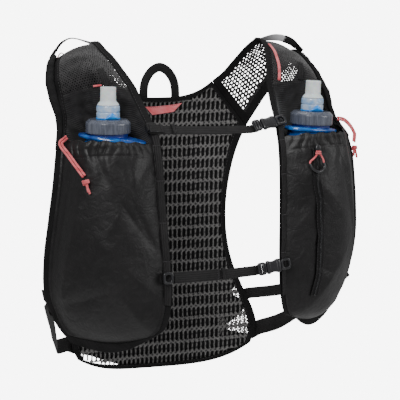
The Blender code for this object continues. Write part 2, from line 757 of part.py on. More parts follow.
def make_flask(side, sign):
    """Soft flask: a neck under the cap, a stiff flange and a body that fills the pocket."""
    frame = np.array(cap_frame(side, sign))
    down, origin = -frame[:3, 2], frame[:3, 3]
    level = (chord(1.0, MOUTH_T) - chord(0.0, MOUTH_T)) * np.array([sign, 1, 0])
    level = unit(level - down * (level @ down))
    breadth = FLASK_BREADTH * float(band_width(MOUTH_T))
    rings = []
    for drop, half_width, half_depth in FLASK_TOP_ROWS:
        middle = origin + down * (CAP_HEIGHT + drop)
        rings.append(flask_ring(middle, level, -down, half_width * breadth, half_depth))
    for t, share in FLASK_BODY_ROWS:
        row = smooth(BAND, t)
        room = (row[7] + row[8]) / 2 * arch(FLASK_U, t) - FLASK_PLAY
        shift = (row[8] - row[7]) / 2 * arch(FLASK_U, t)
        middle = chord(FLASK_U, t) + chord_normal(FLASK_U, t) * shift
        across = unit((chord(1.0, t) - chord(0.0, t)) * np.array([1, 1, 0]))
        ring = flask_ring(middle, across, (0, 0, 1), breadth * share, room * share)
        rings.append(mirrored(ring, sign))
    solid_rings(f"{side}_flask", np.array(aligned(rings)), flask_film)


def aligned(rings):
    """Rings turned and, where needed, reversed so that each starts and runs like the one above."""
    made = [rings[0]]
    for ring in rings[1:]:
        options = [np.roll(r, k, axis=0) for r in (ring, ring[::-1]) for k in range(len(ring))]
        last = made[-1] - made[-1].mean(0)
        made.append(min(options, key=lambda r: np.abs(r - r.mean(0) - last).sum()))
    return made


def solid_rings(name, rings, finish):
    """A closed solid through rings of points, flat at both ends."""
    count, steps = rings.shape[:2]
    index = np.arange(count * steps).reshape(count, steps)
    turned_on = np.roll(index, -1, axis=1)
    faces = np.stack([index[:-1], turned_on[:-1], turned_on[1:], index[1:]], axis=-1)
    faces = faces.reshape(-1, 4).tolist() + [index[0][::-1].tolist(), index[-1].tolist()]
    mesh = bpy.data.meshes.new(name)
    mesh.from_pydata(rings.reshape(-1, 3).tolist(), [], faces)
    made = place(name, mesh, finish)
    made.data.update()
    body = bmesh.new()
    body.from_mesh(mesh)
    bmesh.ops.recalc_face_normals(body, faces=body.faces)
    body.to_mesh(mesh)
    body.free()
    return made


def make_cap(side, sign):
    """Cap with a spigot, the collar that turns on it and the mouthpiece on the collar."""
    frame = cap_frame(side, sign)
    ring, base = CAP_RING_HEIGHT, CAP_RING_HEIGHT + CLEARANCE
    cap_profile = (
        (0.0, ring + SPIGOT_HEIGHT),
        (SPIGOT_RADIUS, ring + SPIGOT_HEIGHT),
        (SPIGOT_RADIUS, ring),
        (COLLAR_RADIUS, ring),
        (COLLAR_RADIUS, 0.0),
        (CAP_TOP_RADIUS, 0.0),
        (CAP_RADIUS, -0.22 * CAP_HEIGHT),
        (CAP_RADIUS, -CAP_HEIGHT),
        (0.0, -CAP_HEIGHT),
    )
    turned(f"{side}_cap", cap_profile, 16, cap_plastic).matrix_world = frame
    bore = SPIGOT_RADIUS + CLEARANCE
    groove = COLLAR_HEIGHT * 0.48
    collar_profile = (
        (bore, COLLAR_HEIGHT),
        (VALVE_SKIRT_RADIUS, COLLAR_HEIGHT),
        (COLLAR_RADIUS, groove + 0.0006),
        (COLLAR_RADIUS - 0.0006, groove),
        (COLLAR_RADIUS, groove - 0.0006),
        (COLLAR_RADIUS, 0.0),
        (bore, 0.0),
    )
    axis = bpy.data.objects.new(f"{side}_valve_axis", None)
    parts.objects.link(axis)
    axis.matrix_world = frame @ Matrix.Translation((0, 0, base))
    collar = turned(f"{side}_valve_collar", collar_profile, 12, collar_plastic)
    collar.parent = axis
    lug_outline = ((-LUG_WIDTH / 2, 0.0), (LUG_WIDTH / 2, 0.0), (0.0, LUG_HEIGHT))
    lug = prism(f"{side}_lug_former", lug_outline, LUG_REACH)
    lug.parent = axis
    lug.matrix_local = Matrix.Translation((0, LUG_REACH / 2 - COLLAR_RADIUS - 0.0009, 0.0002))
    join = collar.modifiers.new("lug", "BOOLEAN")
    join.operation = "UNION"
    join.solver = "EXACT"
    join.object = lug
    top = COLLAR_HEIGHT + CLEARANCE
    valve_profile = (
        (0.0, top + VALVE_HEIGHT),
        (VALVE_RADIUS - 0.0012, top + VALVE_HEIGHT),
        (VALVE_RADIUS, top + VALVE_HEIGHT - 0.0014),
        (VALVE_RADIUS, top + 0.0042),
        (VALVE_SKIRT_RADIUS, top),
        (0.0, top),
    )
    valve = turned(f"{side}_bite_valve", valve_profile, 12, silicone)
    valve.parent = axis


def prism(name, outline, depth):
    """A cutter or former: an outline in the local XZ plane made solid along Y."""
    points = [(x, y, z) for y in (-depth / 2, depth / 2) for x, z in outline]
    n = len(outline)
    faces = [list(range(n)), list(range(2 * n - 1, n - 1, -1))]
    faces += [[(i + 1) % n, i, i + n, (i + 1) % n + n] for i in range(n)]
    mesh = bpy.data.meshes.new(name)
    mesh.from_pydata(points, [], faces)
    made = bpy.data.objects.new(name, mesh)
    formers.objects.link(made)
    made.hide_render = True
    made.display_type = "WIRE"
    return made


def rail_point(sign, t, lift):
    """A point in front of the middle of a rail, clear of its turned edges."""
    stack = TAPE_THICKNESS / 2 + CLEARANCE + WEBBING_THICKNESS + RAIL_STANDOFF + lift
    return mirrored(lining(TAPE_WIDTH / 2 / band_width(t), t, stack), sign)


def rail_rise(t):
    """Unit direction up a rail, seen from the side."""
    u = TAPE_WIDTH / 2 / band_width(t)
    return unit((chord(u, t - 0.1) - chord(u, t + 0.1)) * np.array([0, 1, 1]))


def strap_frame(origin, towards, rise):
    """Local X along a strap, Y up the rail and Z away from the chest."""
    along = unit(towards - origin)
    up = unit(rise - along * (along @ rise))
    out = np.cross(along, up)
    frame = np.eye(4)
    frame[:3, 0], frame[:3, 1], frame[:3, 2], frame[:3, 3] = along, up, out, origin
    return Matrix(frame.tolist())


def ring_plate(name, frame, x, length, height, slot_length, slot_height, finish):
    """A rounded plate with one slot, placed along a strap from x."""
    middle = x + length / 2
    outlines = [rounded_box(length, height, 0.0022, middle)]
    outlines.append(rounded_box(slot_length, slot_height, 0.0008, middle, steps=2))
    made = plate(name, outlines, PLATE_THICKNESS, finish)
    made.matrix_world = frame
    return made


def make_chest_strap(name):
    """Webbing from the right rail to its ladder, and the fastened buckle that forks round the left rail."""
    right_t, left_t, drop = CHEST_STRAPS[name]
    left_end = rail_point(1.0, left_t, PLATE_THICKNESS / 2)
    right_end = rail_point(-1.0, right_t, WEBBING_THICKNESS / 2)
    total = LADDER_LENGTH + SOCKET_LENGTH + FORK_LENGTH + 2 * CLEARANCE - FORK_OVERHANG
    start = np.array([left_end[0] - total, left_end[1], right_end[2] - drop])
    frame = strap_frame(start, left_end, rail_rise(left_t))
    behind = -(PLATE_THICKNESS + WEBBING_THICKNESS) / 2 - 2 * CLEARANCE
    entry = np.array(frame @ Vector((-0.003, 0, behind)))
    tail = np.array(frame @ Vector((LADDER_LENGTH / 2, 0, behind)))
    x = 0.0
    ring_plate(
        f"{name}_buckle_prong", frame, x, LADDER_LENGTH, BUCKLE_HEIGHT,
        LADDER_LENGTH * 0.36, STRAP_WIDTH + 0.0006, buckle_plastic,
    )
    x += LADDER_LENGTH + CLEARANCE
    socket_shape = [rounded_box(SOCKET_LENGTH, BUCKLE_HEIGHT, 0.0028, x + SOCKET_LENGTH / 2)]
    socket = plate(f"{name}_buckle_socket", socket_shape, SOCKET_THICKNESS, buckle_plastic)
    socket.matrix_world = frame
    x += SOCKET_LENGTH + CLEARANCE
    slot = FORK_LENGTH - 2 * FORK_BAND, FORK_HEIGHT - 2 * FORK_BAND
    ring_plate(f"{name}_fork", frame, x, FORK_LENGTH, FORK_HEIGHT, *slot, buckle_plastic)
    head, width = right_end - np.array([RAIL_WIDTH / 2, 0, 0]), STRAP_WIDTH
    if name == "lower":
        at = rail_point(-1.0, right_t, PLATE_THICKNESS / 2)
        fork_frame = strap_frame(at - np.array([FORK_OVERHANG, 0, 0]), start, rail_rise(right_t))
        slot = FORK_LENGTH - 2 * FORK_BAND, WIDE_STRAP_WIDTH - 2 * FORK_BAND
        ring_plate("lower_strap_fork", fork_frame, 0, FORK_LENGTH, WIDE_STRAP_WIDTH, *slot, webbing)
        head = np.array(fork_frame @ Vector((FORK_LENGTH + 3 * CLEARANCE, 0, 0)))
    share = np.linspace(0, 1, 8)
    width = np.full(len(share), width)
    if name == "lower":
        step = (WIDE_STRAP_END - head[0]) / (entry[0] - head[0])
        share = np.sort(np.concatenate([share, [step, step + 0.01]]))
        width = np.where(share <= step, WIDE_STRAP_WIDTH, STRAP_WIDTH)
    centres = np.vstack([head * (1 - share[:, None]) + entry * share[:, None], tail])
    turn = np.append(share, 1.0)[:, None]
    up = rail_rise(right_t) * (1 - turn) + np.array(frame)[:3, 1] * turn
    width = np.append(width, STRAP_WIDTH)
    ribbon(f"{name}_strap", centres, up, width, WEBBING_THICKNESS, webbing)


def make_side_strap(side, sign, name):
    """Webbing round the ribs from the back panel's edge to the front panel's outer edge."""
    back_v, between_points, front_t, width = SIDE_STRAPS[name]
    lap = (TAPE_THICKNESS + WEBBING_THICKNESS) / 2 + 2 * CLEARANCE
    tape_u = panel_inset(TAPE_WIDTH)[0]
    at_u = np.array([1 - 0.7 * tape_u, 1 + 0.35 * tape_u])
    behind = panel_point(at_u, back_v) + np.array([0.0, lap, 0.0])
    sizes = np.array([CHEST_HALF_WIDTH, FRONT_REACH, BACK_DROP])
    middle = np.array(between_points) * sizes
    edge = TAPE_WIDTH / band_width(front_t)
    u = np.array([1 + 0.35 * edge, 1 - 0.7 * edge])
    t = np.full(2, front_t)
    front = chord(u, t) - chord_normal(u, t) * lap
    route = np.vstack([behind[1:], middle, front[:1]])
    bend = smooth(route, np.linspace(0, len(route) - 1, 11))
    centres = np.vstack([behind[:1], bend, front[1:]])
    back_rise = unit(panel_point(1.0, back_v - 0.02) - panel_point(1.0, back_v + 0.02))
    front_rise = unit(chord(1.0, front_t - 0.2) - chord(1.0, front_t + 0.2))
    share = np.linspace(0, 1, len(centres))[:, None]
    up = back_rise * (1 - share) + front_rise * share
    made = f"{side}_side_strap_{name}"
    ribbon(made, mirrored(centres, sign), mirrored(up, sign), width, WEBBING_THICKNESS, webbing)


def make_haul_loop():
    rows = np.array(HAUL_ROWS)
    whole = np.vstack([rows * (-1, 1), rows[-2::-1]])
    share = smooth(whole, np.linspace(0, len(whole) - 1, 17))
    lap = (TAPE_THICKNESS + WEBBING_THICKNESS) / 2 + CLEARANCE
    rise = HAUL_FOOT - HAUL_TOP
    x, z = share[:, 0] * HAUL_HALF_WIDTH, share[:, 1] * rise - HAUL_FOOT
    centres = np.stack([x, np.full_like(x, BACK_REACH + lap), z], axis=1)
    along = np.gradient(centres, axis=0)
    across = np.cross(along, (0.0, 1.0, 0.0))
    ribbon("haul_loop", centres, across, HAUL_WEBBING, WEBBING_THICKNESS, webbing)


def make_label():
    """Blank label on the inside of the back, under the neck tape."""
    share, v = np.meshgrid(np.linspace(-1, 1, 6), (0.037, 0.066), indexing="ij")
    half = np.where(v < 0.05, LABEL_HALF_WIDTH, LABEL_LOW_HALF_WIDTH) / (2 * BAND[0, 3])
    lift = (NET_THICKNESS + WEBBING_THICKNESS) / 2 + 2 * CLEARANCE
    grid = panel_point(0.5 + share * half, v) - np.array([0.0, lift, 0.0])
    sheet("neck_label", grid, WEBBING_THICKNESS, label_cloth)


def make_shoulder_loop(side, sign):
    """Ribbon loop that stands over the shoulder from tape to tape."""
    share = np.linspace(0, 1, 11)
    t = np.full_like(share, SHOULDER_LOOP_T)
    lift = (TAPE_THICKNESS + WEBBING_THICKNESS) / 2 + 3 * CLEARANCE
    lift += ARM_TAPE_ROLL * np.clip(share * 3 - 2, 0, 1)
    u = 0.03 + 0.94 * share
    centres = lining(u, t, lift)
    centres[:, 2] += SHOULDER_LOOP_RISE * np.sin(np.pi * share**1.6) ** 0.8
    along = np.gradient(centres, axis=0)
    slope = unit(chord(u, t + 0.1) - chord(u, t - 0.1))
    stands = np.sin(np.pi * share)[:, None]
    slope = slope * (1 - stands) + np.array(SHOULDER_LOOP_FACE) * stands
    across = slope - unit(along) * np.sum(unit(along) * slope, axis=1, keepdims=True)
    name = f"{side}_shoulder_loop"
    grid = mirrored(centres, sign), mirrored(across, sign)
    ribbon(name, *grid, SHOULDER_LOOP_WIDTH, WEBBING_THICKNESS, reflective)


def on_mesh(sign, u, t):
    """Centres and across directions of webbing laid on the shoulder mesh."""
    lift = (NET_THICKNESS + WEBBING_THICKNESS) / 2 + 3 * CLEARANCE
    centres = mirrored(lining(u, t, lift), sign)
    return centres, mirrored(chord(u + 0.01, t) - chord(u - 0.01, t), sign)


def make_valve_tab(side, sign):
    u, first, last = VALVE_TAB_ROWS[side]
    t = np.linspace(first, last, 4)
    laid = on_mesh(sign, np.full_like(t, u), t)
    ribbon(f"{side}_valve_tab", *laid, VALVE_TAB_WIDTH, WEBBING_THICKNESS, webbing)


def make_shoulder_cord():
    rows = smooth(SHOULDER_CORD_ROWS, np.linspace(0, len(SHOULDER_CORD_ROWS) - 1, 9))
    laid = on_mesh(1.0, rows[:, 0], rows[:, 1])
    ribbon("left_shoulder_cord", *laid, SHOULDER_CORD_WIDTH, WEBBING_THICKNESS, coral)


def cord_path(side, sign, rows, count, shift=0.0):
    """Smooth path over a pocket through rows of u, t and lift, moved sideways by shift."""
    row = smooth(rows, np.linspace(0, len(rows) - 1, count))
    u, t = row[:, 0], row[:, 1]
    path = pocket_cloth(side, u, t, row[:, 2])
    beside = unit(np.cross(np.gradient(path, axis=0), chord_normal(u, t)))
    return mirrored(path + beside * shift, sign)


def make_drawcord(side, sign):
    """Two strands of the pocket's drawcord and the knot that ends them."""
    for letter, away in (("a", -0.5), ("b", 0.5)):
        path = cord_path(side, sign, DRAWCORD_ROWS[side], 10, away * CORD_SPACING)
        tube(f"{side}_drawcord_{letter}", path, CORD_DIAMETER, coral)
    path = cord_path(side, sign, KNOT_ROWS[side], 9)
    share = np.linspace(0, 1, len(path))
    swell = 1 + (KNOT_DIAMETER / CORD_DIAMETER - 1) * np.clip(1 - ((share - 0.2) / 0.26) ** 2, 0, 1)
    tube(f"{side}_drawcord_knot", path, CORD_DIAMETER, coral, swell)


def on_left_pocket(u, t, lift):
    """A point above the left pocket's own facets."""
    share = np.linspace(0, 1, POCKET_COLUMNS + 1)
    row_t = np.broadcast_to(POCKET_T[:, None], (len(POCKET_T), len(share)))
    edge = TAPE_WIDTH / band_width(row_t)
    grid_u = between(share, edge, edge, row_t)
    cloth_points = pocket_cloth("left", grid_u, row_t)
    u, t, lift = np.broadcast_arrays(np.asarray(u, float), t, lift)
    edge = TAPE_WIDTH / band_width(t)
    low, high = between(0.0, edge, edge, t), between(1.0, edge, edge, t)
    column = (u - low) / (high - low) * POCKET_COLUMNS
    row = np.interp(t, POCKET_T, np.arange(len(POCKET_T)))
    i = np.clip(row.astype(int), 0, len(POCKET_T) - 2)
    j = np.clip(column.astype(int), 0, POCKET_COLUMNS - 1)
    f, g = (row - i)[..., None], (column - j)[..., None]
    above = cloth_points[i, j] * (1 - g) + cloth_points[i, j + 1] * g
    below = cloth_points[i + 1, j] * (1 - g) + cloth_points[i + 1, j + 1] * g
    return above * (1 - f) + below * f + chord_normal(u, t) * lift[..., None]


def make_zip():
    """Zip down the left pocket, its slider and the cord loop that pulls it."""
    rows = smooth(ZIP_ROWS, np.linspace(0, len(ZIP_ROWS) - 1, 19))
    u, t = rows[:, 0], rows[:, 1]
    lift = CLOTH_THICKNESS / 2 + ZIP_CLEARANCE + WEBBING_THICKNESS / 2
    half = ZIP_WIDTH / 2 / band_width(t)
    edges = [on_left_pocket(u + k * half, t, lift) for k in (-1, 1)]
    sheet("left_zip_tape", np.stack(edges, axis=1), WEBBING_THICKNESS, zip_tape)
    u, t = ZIP_ROWS[0][0], ZIP_ROWS[0][1] + 0.09
    across = unit(on_left_pocket(u + 0.02, t, 0.0) - on_left_pocket(u - 0.02, t, 0.0))
    down = on_left_pocket(u, t + 0.05, 0.0) - on_left_pocket(u, t - 0.02, 0.0)
    out = unit(np.cross(down, across))
    above = lift + (WEBBING_THICKNESS + SLIDER_THICKNESS) / 2 + ZIP_CLEARANCE
    frame = np.eye(4)
    frame[:3, 0], frame[:3, 1], frame[:3, 2] = across, np.cross(out, across), out
    frame[:3, 3] = on_left_pocket(u, t, above)
    outline = [rounded_box(SLIDER_WIDTH, SLIDER_LENGTH, 0.0014)]
    slider = plate("left_zip_slider", outline, SLIDER_THICKNESS, buckle_plastic)
    slider.matrix_world = Matrix(frame.tolist())
    for letter, cord_rows in ZIP_CORD_ROWS.items():
        tube(f"left_zip_cord_{letter}", over_zip(cord_rows, 6), CORD_DIAMETER, coral)
    tube("left_zip_grip", over_zip(ZIP_GRIP_ROWS, 12), GRIP_DIAMETER, buckle_plastic)


def over_zip(rows, count):
    """Smooth path in front of the zip through rows of u, t and lift."""
    row = smooth(rows, np.linspace(0, len(rows) - 1, count))
    return on_left_pocket(row[:, 0], row[:, 1], row[:, 2])


clear_scene()
parts = add_collection("running_hydration_vest")
formers = add_collection("formers")
net = material("knitted spacer net", "4a4848", 0.85)
fine_mesh = material("fine mesh", "2b2a2b", 0.9)
cloth = material("stretch cloth", "1c1b1c", 0.85)
nylon = material("coated nylon", "181718", 0.5)
tape = material("woven tape", "161516", 0.8)
webbing = material("webbing", "1a191a", 0.75)
zip_tape = material("coated zip tape", "141314", 0.4)
flask_film = material("blue flask film", "0b4f94", 0.3)
cap_plastic = material("smoky cap plastic", "4a4f5e", 0.25)
collar_plastic = material("light blue collar plastic", "5aa6ea", 0.3)
silicone = material("clear silicone", "d2dade", 0.35)
buckle_plastic = material("black acetal", "1a1a1c", 0.35)
reflective = material("reflective ribbon", "3a3a3c", 0.5)
label_cloth = material("coral label cloth", "f09090", 0.7)
coral = material("coral cord", "e0747a", 0.75)

make_back()
for side_name, side_sign in SIDES:
    make_shoulder(side_name, side_sign)
    make_tapes(side_name, side_sign)
    make_front(side_name, side_sign)
    make_pocket(side_name, side_sign)
    make_pocket_binding(side_name, side_sign)
    make_rail(side_name, side_sign)
    make_flask(side_name, side_sign)
    make_cap(side_name, side_sign)
    make_shoulder_loop(side_name, side_sign)
    make_valve_tab(side_name, side_sign)
    make_drawcord(side_name, side_sign)
    for strap_name in SIDE_STRAPS:
        make_side_strap(side_name, side_sign, strap_name)
for strap_name in CHEST_STRAPS:
    make_chest_strap(strap_name)
make_haul_loop()
make_label()
make_shoulder_cord()
make_zip()
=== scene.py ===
# %% [markdown]
# # A running hydration vest
# The vest is shown as it is worn, with the torso left out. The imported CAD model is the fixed
# frame: it gives the size and place of every piece. Each cell below makes one piece of the
# real vest finer than the CAD has it, from a formula over two numbers.

import math

import bmesh
import bpy
import numpy as np
from mathutils import Matrix, Vector


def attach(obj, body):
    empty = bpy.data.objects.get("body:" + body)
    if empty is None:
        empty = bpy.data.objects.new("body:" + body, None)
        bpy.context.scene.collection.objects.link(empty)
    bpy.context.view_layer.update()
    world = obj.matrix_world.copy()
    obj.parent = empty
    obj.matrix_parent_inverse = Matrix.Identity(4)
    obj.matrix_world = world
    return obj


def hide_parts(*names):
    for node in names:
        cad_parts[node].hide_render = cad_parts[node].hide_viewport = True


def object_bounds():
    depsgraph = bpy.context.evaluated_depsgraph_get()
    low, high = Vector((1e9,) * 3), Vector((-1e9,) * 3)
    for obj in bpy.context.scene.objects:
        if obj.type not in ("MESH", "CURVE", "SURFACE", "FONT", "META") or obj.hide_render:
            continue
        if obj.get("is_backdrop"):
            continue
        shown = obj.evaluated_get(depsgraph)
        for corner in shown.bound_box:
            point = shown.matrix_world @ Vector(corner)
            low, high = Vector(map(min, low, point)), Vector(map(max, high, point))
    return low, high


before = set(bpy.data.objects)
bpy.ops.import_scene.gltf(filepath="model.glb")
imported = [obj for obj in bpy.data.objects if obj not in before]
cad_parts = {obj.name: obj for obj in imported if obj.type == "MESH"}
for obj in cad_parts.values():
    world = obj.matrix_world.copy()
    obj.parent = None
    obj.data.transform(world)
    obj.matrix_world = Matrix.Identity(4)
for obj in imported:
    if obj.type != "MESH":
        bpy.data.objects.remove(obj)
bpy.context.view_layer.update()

# %% [markdown]
# The photograph was taken from a little to the right of the wearer's front and slightly above,
# with a long lens, so the camera stands 1.6 m away. The vest floats before pure white, yet its
# black cloth stays black: the world is far brighter where the camera looks straight at it than
# as a light. Three large soft lamps give the broad highlights, and a pale floor lies below.

# %% Camera, floor and light
AZIMUTH, ELEVATION = math.radians(-22), math.radians(9)
TARGET = Vector((0.005, -0.045, -0.175))
BACK = Vector(
    (
        math.sin(AZIMUTH) * math.cos(ELEVATION),
        -math.cos(AZIMUTH) * math.cos(ELEVATION),
        math.sin(ELEVATION),
    )
)
camera = bpy.data.objects.new("camera", bpy.data.cameras.new("camera"))
bpy.context.scene.collection.objects.link(camera)
camera.data.sensor_width = 36
camera.data.lens = 130.9
camera.location = TARGET + BACK * 1.6
camera.rotation_mode = "QUATERNION"
camera.rotation_quaternion = (-BACK).to_track_quat("-Z", "Y")
bpy.context.scene.camera = camera

floor = bpy.data.objects.new("floor", bpy.data.meshes.new("floor"))
floor.data.from_pydata(
    [(x, y, -0.95) for x, y in ((-0.8, -0.8), (0.8, -0.8), (0.8, 0.8), (-0.8, 0.8))], [], [(0, 1, 2, 3)]
)
bpy.context.scene.collection.objects.link(floor)
floor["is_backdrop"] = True

world = bpy.data.worlds.new("studio")
world.use_nodes = True
SKY_LIGHT, SKY_SEEN = 0.42, 7.0
sky = world.node_tree.nodes["Background"]
sky.inputs["Color"].default_value = (1, 1, 1, 1)
seen = world.node_tree.nodes.new("ShaderNodeLightPath").outputs["Is Camera Ray"]
power = world.node_tree.nodes.new("ShaderNodeMath")
power.operation = "MULTIPLY_ADD"
power.inputs[1].default_value, power.inputs[2].default_value = SKY_SEEN, SKY_LIGHT
world.node_tree.links.new(seen, power.inputs[0])
world.node_tree.links.new(power.outputs[0], sky.inputs["Strength"])
bpy.context.scene.world = world
for name, place, size, energy in (
    ("key", (-1.3, -1.6, 1.3), 1.0, 42),
    ("fill", (1.7, -1.3, 0.5), 1.2, 16),
    ("top", (0.1, 0.5, 1.7), 1.2, 14),
):
    lamp = bpy.data.objects.new(name, bpy.data.lights.new(name, "AREA"))
    lamp.data.size, lamp.data.energy = size, energy
    lamp.location = place
    lamp.rotation_euler = (TARGET - Vector(place)).to_track_quat("-Z", "Y").to_euler()
    bpy.context.scene.collection.objects.link(lamp)

# %% [markdown]
# Every finish is built from nodes. Blender's shader wants linear colour, while a maker's chart
# gives sRGB hex codes, so one function turns one into the other. A second one adds a node with
# its settings and joins it up, which keeps each finish to a few lines.

# %% Colours and nodes
def linear(code):
    """sRGB hex code to linear colour: a power curve above a short straight start."""
    parts = np.array([int(code[i : i + 2], 16) / 255 for i in (0, 2, 4)])
    curve = np.where(parts <= 0.04045, parts / 12.92, ((parts + 0.055) / 1.055) ** 2.4)
    return (*curve.tolist(), 1.0)


def add(tree, kind, inputs, **settings):
    """One node; each input is a value, or a socket to join it to."""
    made = tree.nodes.new(kind)
    for key, value in settings.items():
        setattr(made, key, value)
    for key, value in inputs.items():
        if isinstance(value, bpy.types.NodeSocket):
            tree.links.new(value, made.inputs[key])
        else:
            made.inputs[key].default_value = value
    return made


def new_finish(name, **sockets):
    """An empty finish, with the constants of its shader set."""
    made = bpy.data.materials.new(name)
    made.use_nodes = True
    body = made.node_tree.nodes["Principled BSDF"]
    for key, value in sockets.items():
        body.inputs[key.replace("_", " ")].default_value = value
    return made, made.node_tree, body


def mix(tree, share, low, high):
    """Colour between two, by share."""
    blend = add(tree, "ShaderNodeMix", {0: share, 6: low, 7: high}, data_type="RGBA")
    return blend.outputs[2]


def bands(tree, at, period, direction, wobble=0.0):
    """Soft stripes across one direction, one for each period in metres."""
    turns = {"Vector": at, "Scale": math.pi / 10 / period, "Distortion": wobble}
    return add(tree, "ShaderNodeTexWave", turns, bands_direction=direction).outputs["Fac"]


def woven(name, low, high, thread, roughness, depth, patch=0.012, slant=0.0, **sockets):
    """Two crossing sets of stripes for warp and weft, over slow patches of lighter wear."""
    sockets = {"Specular_IOR_Level": 0.22, **sockets}
    made, tree, body = new_finish(name, Roughness=roughness, **sockets)
    at = add(tree, "ShaderNodeUVMap", {}).outputs[0]
    turned = add(tree, "ShaderNodeMapping", {0: at, "Rotation": (0, 0, slant)}).outputs[0]
    warp, weft = bands(tree, turned, thread[0], "X", 0.4), bands(tree, turned, thread[1], "Y", 0.4)
    crossing = add(tree, "ShaderNodeMath", {0: warp, 1: weft}, operation="MULTIPLY").outputs[0]
    spot = add(tree, "ShaderNodeTexNoise", {"Scale": 1 / patch, "Detail": 5, "Vector": at})
    worn = add(tree, "ShaderNodeMapRange", {0: spot.outputs[0], 1: 0.35, 2: 0.7}).outputs[0]
    share = add(tree, "ShaderNodeMath", {0: crossing, 1: worn}, operation="MULTIPLY").outputs[0]
    half = add(tree, "ShaderNodeMath", {0: share, 1: worn}, operation="ADD").outputs[0]
    tree.links.new(mix(tree, half, linear(low), linear(high)), body.inputs["Base Color"])
    bump = {"Height": crossing, "Strength": depth, "Distance": 0.0006}
    tree.links.new(add(tree, "ShaderNodeBump", bump).outputs[0], body.inputs["Normal"])
    return made


# %% [markdown]
# The cords are round polyester braids with an elastic core. Their carriers cross at a slant,
# so the surface shows a fine zigzag, and the finish repeats it on the cord's own UV map: its
# first number goes round the cord and its second along it, both in metres.

# %% Coral braid
coral_braid = woven(
    # braided polyester: soft, dry, pink-coral with darker gaps between the carriers;
    # real carriers are 0.6 mm wide, drawn at 1.1 mm so that they show
    "coral polyester braid", "c93440", "ff8488", (0.0011, 0.0011), 0.7, 0.6, slant=0.785,
    Sheen_Weight=0.35,
)
floor_finish, tree, body = new_finish("matt white paper", Roughness=0.9)
paper = add(tree, "ShaderNodeTexCoord", {}).outputs["Object"]
fibre = add(tree, "ShaderNodeTexNoise", {"Vector": paper, "Scale": 3.0}).outputs[0]
tree.links.new(mix(tree, fibre, linear("f4f4f4"), linear("ffffff")), body.inputs["Base Color"])
floor.data.materials.append(floor_finish)

# %% [markdown]
# Each half of the vest is one long band of cloth that climbs from the back seam over the
# shoulder and down the chest. A place on it is given by u, from 0 at the neck edge to 1 at the
# arm edge, and t, which counts the rows of the table. A smooth curve through the rows gives
# the sections between them, so all pieces sewn to the band share one surface.

# %% The band
BAND = np.array(
    [
        # inner x y z, outer x y z, crown, hollow, swell, sag
        (0.0580, 0.0490, -0.0518, 0.1009, 0.0490, -0.1069, 0.0000, 0.0000, 0.0000, 0.0000),
        (0.0690, 0.0440, -0.0419, 0.1120, 0.0450, -0.0879, 0.0030, 0.0000, 0.0000, 0.0000),
        (0.0790, 0.0330, -0.0261, 0.1250, 0.0360, -0.0641, 0.0050, 0.0000, 0.0000, 0.0000),
        (0.0880, 0.0200, -0.0109, 0.1390, 0.0220, -0.0390, 0.0070, 0.0000, 0.0000, 0.0000),
        (0.0945, 0.0050, -0.0019, 0.1490, 0.0040, -0.0229, 0.0080, 0.0000, 0.0000, 0.0000),
        (0.0930, -0.0153, -0.0071, 0.1559, -0.0133, -0.0251, 0.0090, 0.0000, 0.0000, 0.0000),
        (0.0875, -0.0368, -0.0200, 0.1606, -0.0297, -0.0361, 0.0120, 0.0000, 0.0000, 0.0000),
        (0.0815, -0.0583, -0.0409, 0.1630, -0.0450, -0.0541, 0.0170, 0.0000, 0.0000, 0.0000),
        (0.0760, -0.0798, -0.0670, 0.1650, -0.0593, -0.0760, 0.0000, 0.0130, 0.0060, 0.0000),
        (0.0679, -0.1071, -0.0921, 0.1680, -0.0696, -0.0969, 0.0000, 0.0264, 0.0246, 0.0000),
        (0.0662, -0.1170, -0.1150, 0.1700, -0.0747, -0.1169, 0.0000, 0.0269, 0.0269, 0.0000),
        (0.0655, -0.1217, -0.1449, 0.1719, -0.0767, -0.1459, 0.0000, 0.0259, 0.0280, 0.0000),
        (0.0640, -0.1258, -0.1851, 0.1750, -0.0747, -0.1851, 0.0000, 0.0259, 0.0280, 0.0000),
        (0.0620, -0.1299, -0.2251, 0.1769, -0.0696, -0.2251, 0.0000, 0.0259, 0.0269, 0.0000),
        (0.0620, -0.1330, -0.2621, 0.1730, -0.0624, -0.2621, 0.0000, 0.0238, 0.0238, 0.0000),
        (0.0680, -0.1319, -0.2921, 0.1590, -0.0624, -0.2892, 0.0000, 0.0207, 0.0218, 0.0070),
        (0.0820, -0.1238, -0.3049, 0.1401, -0.0737, -0.3020, 0.0000, 0.0181, 0.0192, 0.0160),
    ]
)
TAPE = 0.008
HEM_T, MOUTH_T, SHUT_T, LAST_T, FOOT_T = 7.3, 9.5, 13.5, 15.505, 16.0
SIDES = (("left", 1.0), ("right", -1.0))


def smooth(rows, t):
    """Catmull-Rom curve through the rows: each piece is a cubic that passes through two of
    them and heads the way its neighbours point."""
    rows = np.asarray(rows, float)
    t = np.clip(np.asarray(t, float), 0, len(rows) - 1)
    k = np.minimum(t.astype(int), len(rows) - 2)
    f = (t - k)[..., None]
    ends = np.vstack([2 * rows[0] - rows[1], rows, 2 * rows[-1] - rows[-2]])
    a, b, c, d = (ends[k + i] for i in range(4))
    return b + 0.5 * f * (c - a + f * (2 * a - 5 * b + 4 * c - d + f * (3 * (b - c) + d - a)))


def unit(v):
    """Vectors divided by their own lengths."""
    return v / np.maximum(np.linalg.norm(v, axis=-1, keepdims=True), 1e-12)


def chord(u, t):
    """Straight from neck edge to arm edge, sagging by a half sine at the foot."""
    row, u = smooth(BAND, t), np.asarray(u, float)
    point = row[..., 0:3] * (1 - u[..., None]) + row[..., 3:6] * u[..., None]
    point[..., 2] -= row[..., 9] * np.sin(np.pi * np.clip(u, 0, 1))
    return point


